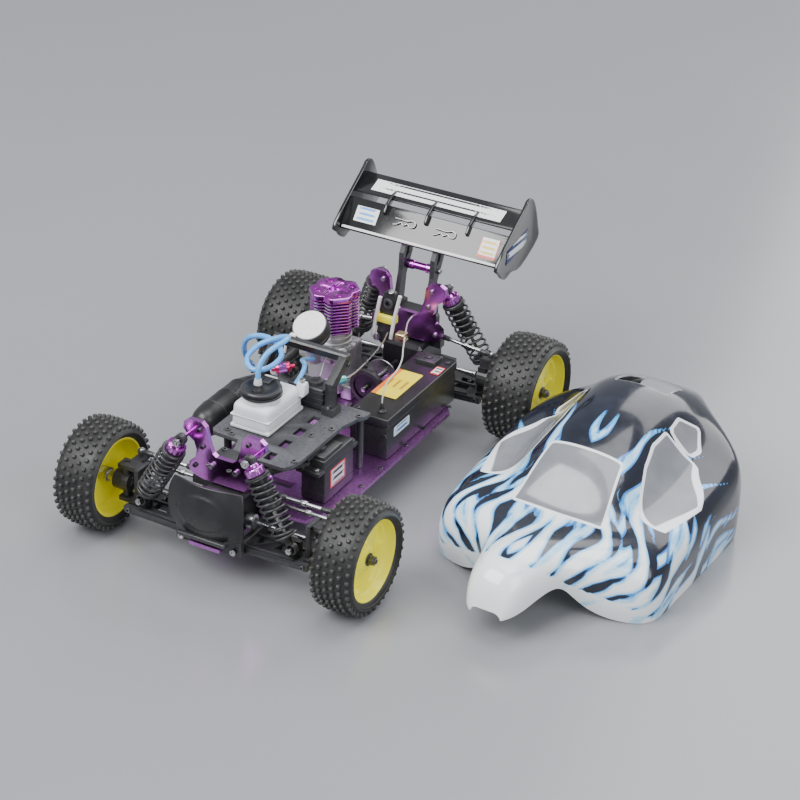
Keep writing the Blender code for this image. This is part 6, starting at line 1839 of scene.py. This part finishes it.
# ------------------------------------------------------------------ suspension details, bumper and wing mount
@dataclass
class RunningGear:
    """What the CAD arms, hubs and links carry: pin heads, arm ribs, ball studs, drive shafts and turnbuckles.
    """

    hinge_x: float = 22.0
    hinge_z: float = 30.0

    def pins(self, end: str, side: int) -> None:
        """Screw heads at the hinge pins and the hub's pin, and a nut on the shock's foot."""
        y = car.half_base * (-1 if end == "front" else 1)
        corner = f"{end}_{side_name(side)}"
        outer_x, span = (74.0, 17.5) if end == "front" else (66.0, 16.5)
        fixed = FastenerSet(f"{corner}_hinge", "chassis")
        for s in (-1, 1):
            fixed.add(car.at(side * self.hinge_x, y + s * 26.0, self.hinge_z), (0, s, 0), 2.6,
                      Head.BUTTON, STEEL)
        fixed.fit()
        moving = FastenerSet(f"{corner}_arm_screw", f"{corner}_arm")
        for s in (-1, 1):
            moving.add(car.at(side * outer_x, y + s * (span + 0.1), self.hinge_z), (0, s, 0), 2.1,
                       Head.BUTTON)
        foot_x, foot_y = (63.8, -152.0) if end == "front" else (60.0, 156.0)
        out = -1 if end == "front" else 1
        moving.add(car.at(side * foot_x, foot_y + out * 3.9, 41), (0, out, 0), 2.6, Head.NUT, STEEL)
        moving.add(car.at(side * (outer_x - 16), y + 5, 32.5), (0, 0, 1), 1.6)
        moving.fit()

    def ribs(self, end: str, side: int) -> None:
        """Raised edges and cross ribs that stiffen the lower arm."""
        y = car.half_base * (-1 if end == "front" else 1)
        corner = f"{end}_{side_name(side)}"
        inner, outer = self.hinge_x + 4.5, (66.0 if end == "front" else 58.0)
        span_in, span_out = (18.2, 16.2) if end == "front" else (19.2, 15.4)
        pieces = []
        for s in (-1, 1):
            edge = [(side * inner, y + s * span_in), (side * outer, y + s * span_out),
                    (side * outer, y + s * (span_out - 1.8)), (side * inner, y + s * (span_in - 1.8))]
            flat = [(car.at(u, v, 0).x, car.at(u, v, 0).y) for u, v in edge]
            pieces.append(Shape.prism("edge_rib", flat, 32.4 * MM, 1.6 * MM, "XY", 0.4 * MM))
        spine = [(side * inner, y - 1.1), (side * outer, y - 1.1), (side * outer, y + 1.1),
                 (side * inner, y + 1.1)]
        flat = [(car.at(u, v, 0).x, car.at(u, v, 0).y) for u, v in spine]
        pieces.append(Shape.prism("spine_rib", flat, 32.4 * MM, 1.4 * MM, "XY", 0.4 * MM))
        first = pieces[0]
        first.piece.name = f"{corner}_arm_ribs"
        first.joined(*pieces[1:]).cleaned().dressed(BLACK_PLASTIC, f"{corner}_arm")

    def drive_shaft(self, end: str, side: int) -> None:
        """Dog bone between the gear case's cup and the wheel's, on the arm that carries it."""
        y = car.half_base * (-1 if end == "front" else 1)
        corner = f"{end}_{side_name(side)}"
        z0, start, stop = (42.4, 21.0, 69.5) if end == "front" else (43.9, 22.5, 60.5)
        a, b = car.at(side * start, y, z0), car.at(side * stop, y, z0)
        cup = Shape.turned("cup", in_metres(((0, -3), (5.6, -3), (5.9, -2), (5.9, 3), (5.2, 3.4),
                                             (3.2, 3.4), (3.0, 1.0), (0, 1.0))),
                           a, (side, 0, 0), 32)
        cup.piece.name = f"{corner}_outdrive"
        cup.dressed(STEEL, "chassis")
        inner, outer = (5, 0) if end == "front" else (6.5, -2)
        shaft = Shape.rod(f"{corner}_drive_shaft", a + Vector((side * inner, 0, 0)) * MM,
                          b + Vector((side * outer, 0, 0)) * MM, 1.7 * MM, 20, 0.4 * MM)
        knob = Shape.rod("knob", b + Vector((side * (outer - 3), 0, 0)) * MM,
                         b + Vector((side * outer, 0, 0)) * MM, 2.5 * MM, 20, 0.8 * MM)
        shaft.joined(knob).dressed(STEEL, f"{corner}_arm")

    def link(self, name: str, body: str, inner: Point, outer: Point, node: str) -> None:
        """A turnbuckle: steel rod with a hexagon in the middle, black ball cups and ball studs."""
        a, b = car.at(*inner), car.at(*outer)
        along = (b - a).normalized()
        rod = Shape.rod(f"{name}_rod", a + along * 5 * MM, b - along * 5 * MM, 1.55 * MM, 20, 0.3 * MM)
        middle = (a + b) / 2
        rod.joined(Shape.rod("hexagon", middle - along * 2.5 * MM, middle + along * 2.5 * MM, 2.5 * MM,
                             6, 0.3 * MM))
        cups = []
        for place, way in ((a, along), (b, -along)):
            cups.append(Shape.turned("cup", in_metres((
                (0, -1.4), (2.8, -1.4), (3.4, -0.8), (3.4, 0.8), (2.9, 1.7), (0, 1.7))), place,
                (0, 0, 1), 28))
            cups.append(Shape.turned("socket", in_metres((
                (0, 1.5), (1.5, 1.5), (1.6, 3.0), (2.2, 5.0), (2.1, 9.5), (1.7, 10.4), (0, 10.4))),
                place, way, 24))
        cups[0].piece.name = f"{name}_cups"
        cups[0].joined(*cups[1:]).dressed(BLACK_PLASTIC, body, node)
        balls = Shape.turned(f"{name}_balls", in_metres((
            (0, 1.6), (1.8, 1.6), (2.0, 2.2), (1.5, 2.8), (0, 3.0))), a, (0, 0, 1), 20)
        balls.joined(Shape.turned("ball", in_metres((
            (0, 1.6), (1.8, 1.6), (2.0, 2.2), (1.5, 2.8), (0, 3.0))), b, (0, 0, 1), 20))
        rod.joined(balls).dressed(STEEL, body)

    def build(self) -> None:
        """Make all four corners."""
        for side in (LEFT, RIGHT):
            for end in ("front", "rear"):
                self.pins(end, side)
                self.ribs(end, side)
                self.drive_shaft(end, side)
            name = side_name(side)
            self.link(f"front_{name}_upper", f"front_{name}_camber_link", (side * 32, -124.5, 61.5),
                      (side * 82, -124.5, 61.5), f"front_{name}_camber_link")
            self.link(f"front_{name}_steer", f"front_{name}_tie_rod", (side * 24, -114, 47),
                      (side * 84, -114, 47), f"front_{name}_tie_rod")
            self.link(f"rear_{name}_upper", f"rear_{name}_camber_link", (side * 24, 137, 70),
                      (side * 72, 137, 65), f"rear_{name}_camber_link")
        log.info("running gear")


@dataclass
class Towers:
    """Bolts on the shock towers and screws in the gear cases."""

    def build(self) -> None:
        """Fit the heads."""
        screws = FastenerSet("tower", "chassis")
        for side in (LEFT, RIGHT):
            for x, z in ((20.5, 106), (18, 93), (24.7, 76)):
                screws.add(car.at(side * x, -140.0, z), (0, -1, 0), 1.7, Head.CAP, BOLT_BLACK)
            for x, z in ((22, 112), (19, 98), (26, 75)):
                screws.add(car.at(side * x, 131.0, z), (0, 1, 0), 1.9, Head.CAP, BOLT_BLACK)
                screws.add(car.at(side * x, 127.0, z), (0, -1, 0), 1.9, Head.NUT, STEEL)
            screws.add(car.at(side * 28.7, -156.8, 102), (0, -1, 0), 3.2, Head.NUT, STEEL)
            screws.add(car.at(side * 30, 140.8, 111.5), (0, 1, 0), 3.2, Head.NUT, STEEL)
            screws.add(car.at(side * 9, -148, 85), (0, 0, 1), 2.0)
            screws.add(car.at(side * 10, -124, 85), (0, 0, 1), 2.0)
            screws.add(car.at(side * 11, 147, 82), (0, 0, 1), 2.0)
            screws.add(car.at(side * 10, -140.2, 80), (0, -1, 0), 2.2, Head.CAP, STEEL)
            for y in (-40, -10, 30, 60, 100):
                screws.add(car.at(side * 55, y, 31), (0, 0, 1), 1.8)
        screws.fit()
        posts = []
        for x in (-24.0, 24.0):
            post = Shape.turned("tower_post", in_metres(((0, 0), (3.4, 0), (3.4, 2), (2.6, 3),
                                                         (2.6, 15), (3.4, 16), (3.4, 18), (0, 18))),
                                car.at(x, -136, 76.5), (0, 0.94, -0.34), 28)
            posts.append(post)
        posts[0].piece.name = "tower_posts"
        posts[0].joined(posts[1]).dressed(PURPLE, "chassis")
        log.info("tower screws")


@dataclass
class Bumper:
    """Curved soft bumper with a raised oval field, its bracket and its lip."""

    half_width: float = 32.0
    low: float = 37.0
    high: float = 80.0
    front_y: float = -174.5

    def build(self) -> None:
        """Make the bumper."""
        release()
        bpy.ops.mesh.primitive_grid_add(x_subdivisions=56, y_subdivisions=44, size=2.0)
        shape = Shape(bpy.context.object, "bumper_skin")
        with shape.editing("VERT") as build:
            for vertex in build.verts:
                u, v = vertex.co.x, vertex.co.y
                corner = 1.0 - 0.10 * abs(v) ** 3
                bulge = 7.5 * u ** 2 + 5.0 * max(v, 0.0) ** 2 + 3.0 * max(-v, 0.0) ** 2
                oval = math.hypot(u / 0.66, (v - 0.05) / 0.62)
                raised = 1.1 / (1 + math.exp((oval - 1.0) * 22))
                z = (self.low + self.high) / 2 + v * (self.high - self.low) / 2 * (1.0 - 0.10 * u ** 4)
                vertex.co = car.at(u * self.half_width * corner, self.front_y + 1.1 + bulge - raised, z)
            bmesh.update_edit_mesh(shape.piece.data)
        shape.cleaned().modified("SOLIDIFY", thickness=2.6 * MM,
                                 offset=1.0 if self.faces_back(shape) else -1.0)
        shape.rounded(0.7 * MM, 3, 0.9)
        bracket = Shape.block("bracket", car.at(-11, -171.5, 46), car.at(11, -156.3, 60), 1.5 * MM, 3)
        lip = Shape.block("lip", car.at(-20.5, -173.4, 36.6), car.at(20.5, -169.5, 40), 1.0 * MM, 3)
        shape.joined(bracket, lip).dressed(SATIN_BLACK, "chassis", "front_bumper", sharp=0.7)
        log.info("bumper")

    @staticmethod
    def faces_back(shape: Shape) -> bool:
        """Whether the skin's normals point to the car's rear."""
        return shape.piece.data.polygons[0].normal.y > 0


@dataclass
class WingMount:
    """Cross tube and screws of the wing struts, the brake bracket before the rear tower, and the drive shafts
    with the brake disc and spur gear.
    """

    def build(self) -> None:
        """Make the mount's fittings."""
        tube = Shape.turned("wing_cross_tube", in_metres((
            (0, -11.8), (3.6, -11.8), (3.9, -11), (3.9, -6), (3.1, -5), (3.1, 5), (3.9, 6), (3.9, 11),
            (3.6, 11.8), (0, 11.8))), car.at(0, 148, 120), (1, 0, 0), 32)
        tube.dressed(PURPLE, "chassis")
        screws = FastenerSet("wing_mount", "chassis")
        for side in (LEFT, RIGHT):
            for y, z in ((148, 120), (141, 92), (152.5, 136)):
                screws.add(car.at(side * 16.0, y, z), (side, 0, 0), 2.4, Head.CAP, STEEL)
        screws.fit()
        lever = Shape.prism("brake_lever", [(car.at(x, 0, 0).x, car.at(0, 0, z).z) for x, z in (
            (-13, 74), (-8, 70), (-2, 74), (2.5, 92), (5.5, 108), (4, 117), (-2, 119), (-7, 115),
            (-10, 98))],
            car.at(0, 100, 0).y, 4.5 * MM, "XZ", 1.0 * MM, 3)
        lever.dressed(BLACK_PLASTIC, "chassis")
        for name, x0, z0, x1, z1 in (("strip_left", -14.5, 76, -8.5, 112),
                                     ("strip_right", 1.5, 78, 9.0, 117)):
            strip = Shape.tube(f"brake_{name}", [car.at(x0, 98.5, z0),
                                                 car.at((x0 + x1) / 2 - 0.6, 98.2, (z0 + z1) / 2),
                                                 car.at(x1, 98.5, z1)], 1.5 * MM, 4)
            strip.dressed(WHITE, "chassis", sharp=0.9)
        band = Shape.block("yellow_band", car.at(-12.5, 97.3, 90), car.at(4.6, 105.2, 97), 1.3 * MM, 3)
        band.dressed(YELLOW_BAND, "chassis")
        stop = Shape.block("gold_stop", car.at(6, 96, 78), car.at(15, 104, 85), 1.4 * MM, 3)
        stop.dressed(GOLD, "chassis")
        bolts = FastenerSet("brake", "chassis")
        bolts.add(car.at(-1.5, 100, 108), (0, -1, 0), 4.4, Head.BUTTON, BOLT_BLACK)
        bolts.add(car.at(-10.5, 99, 77), (0, -1, 0), 3.4, Head.NUT, STEEL)
        bolts.add(car.at(0.5, 100, 117.8), (0, -0.5, 1), 2.4, Head.BUTTON, STEEL)
        bolts.fit()
        shaft = Shape.rod("centre_shaft", car.at(-2, 62, 48), car.at(-2, 116, 48), 2.2 * MM, 20, 0.4 * MM)
        disc = Shape.turned("brake_disc", in_metres(((2.2, -0.7), (13, -0.7), (13.3, 0), (13, 0.7),
                                                     (2.2, 0.7))),
                            car.at(-2, 92, 48), (0, 1, 0), 56, True)
        gear = Shape.rod("spur_gear", car.at(-2, 66, 48), car.at(-2, 71, 48), 14.5 * MM, 44, 0.5 * MM)
        gear.inset(facing((0, -1, 0)), 3.0 * MM, -1.2 * MM).dressed(BLACK_PLASTIC, "chassis")
        shaft.joined(disc).dressed(STEEL, "chassis")
        front = Shape.rod("front_shaft", car.at(0, -118, 42.4), car.at(0, 40, 46), 1.9 * MM, 20, 0.3 * MM)
        front.dressed(STEEL, "chassis")
        log.info("wing mount")


OTHER_PARTS = (FuelTank, RadioBox, SteeringServo, Deck, Engine, Exhaust, RunningGear, Towers, Bumper,
               WingMount)


# ------------------------------------------------------------------ CAD pieces that keep their shape
CAD_FINISHES = {
    "chassis_plate": PURPLE_SATIN, "front_gearbox": BLACK_PLASTIC, "rear_gearbox": BLACK_PLASTIC,
    "front_shock_tower": PURPLE, "rear_shock_tower": PURPLE, "front_bumper": BLACK_PLASTIC,
    "top_deck": GREY_PLATE, "steering_servo": BLACK_PLASTIC, "servo_horn": BLACK_PLASTIC,
    "steering_link": BLACK_PLASTIC, "receiver_box": BLACK_PLASTIC, "receiver_box_lid": BLACK_PLASTIC,
    "fuel_tank": TANK_WHITE, "tank_lid": BLACK_PLASTIC, "roll_bar": SATIN_BLACK, "crankcase": CAST,
    "cooling_head": PURPLE, "air_filter": BLACK_PLASTIC, "exhaust_pipe": PIPE, "wing_mount": BLACK_PLASTIC,
    "fuel_line": HOSE_BLUE, "antenna_wire": WIRE, "rear_wing": WING_BLACK, "body_shell": WING_BLACK,
}
CORNER_FINISHES = {
    "lower_arm": BLACK_PLASTIC, "hub": BLACK_PLASTIC, "knuckle": BLACK_PLASTIC, "rim": YELLOW, "tyre": TYRE,
    "shock_body": SATIN_BLACK, "shock_rod": BLACK_PLASTIC, "spring": SATIN_BLACK,
    "camber_link": BLACK_PLASTIC, "tie_rod": BLACK_PLASTIC,
}


def dress_cad_nodes() -> None:
    """Give every CAD node its finish."""
    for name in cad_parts:
        found = CAD_FINISHES.get(name)
        if found is None:
            found = next(f for label, f in CORNER_FINISHES.items() if name.endswith(label))
        dress_node(name, found)


def main() -> None:
    """Build everything in order."""
    logging.basicConfig(level=logging.INFO, format="%(name)s: %(message)s")
    Studio().build()
    LooseLines().build()
    dress_cad_nodes()
    Wheel("front", 42.4, 34.6, 126.0, 31.6, 82.5).build()
    Wheel("rear", 43.9, 42.1, 124.4, 33.0, 62.5).build()
    Shock("front", (28.7, -152, 102), (63.8, -152, 41), 0.70).build()
    Shock("rear", (30, 136, 111.5), (60, 156, 41), 0.755).build()
    for maker in OTHER_PARTS:
        maker().build()
    RearWing().build()
    BodyShell().build()
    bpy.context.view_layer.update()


if __name__ == "__main__":
    main()
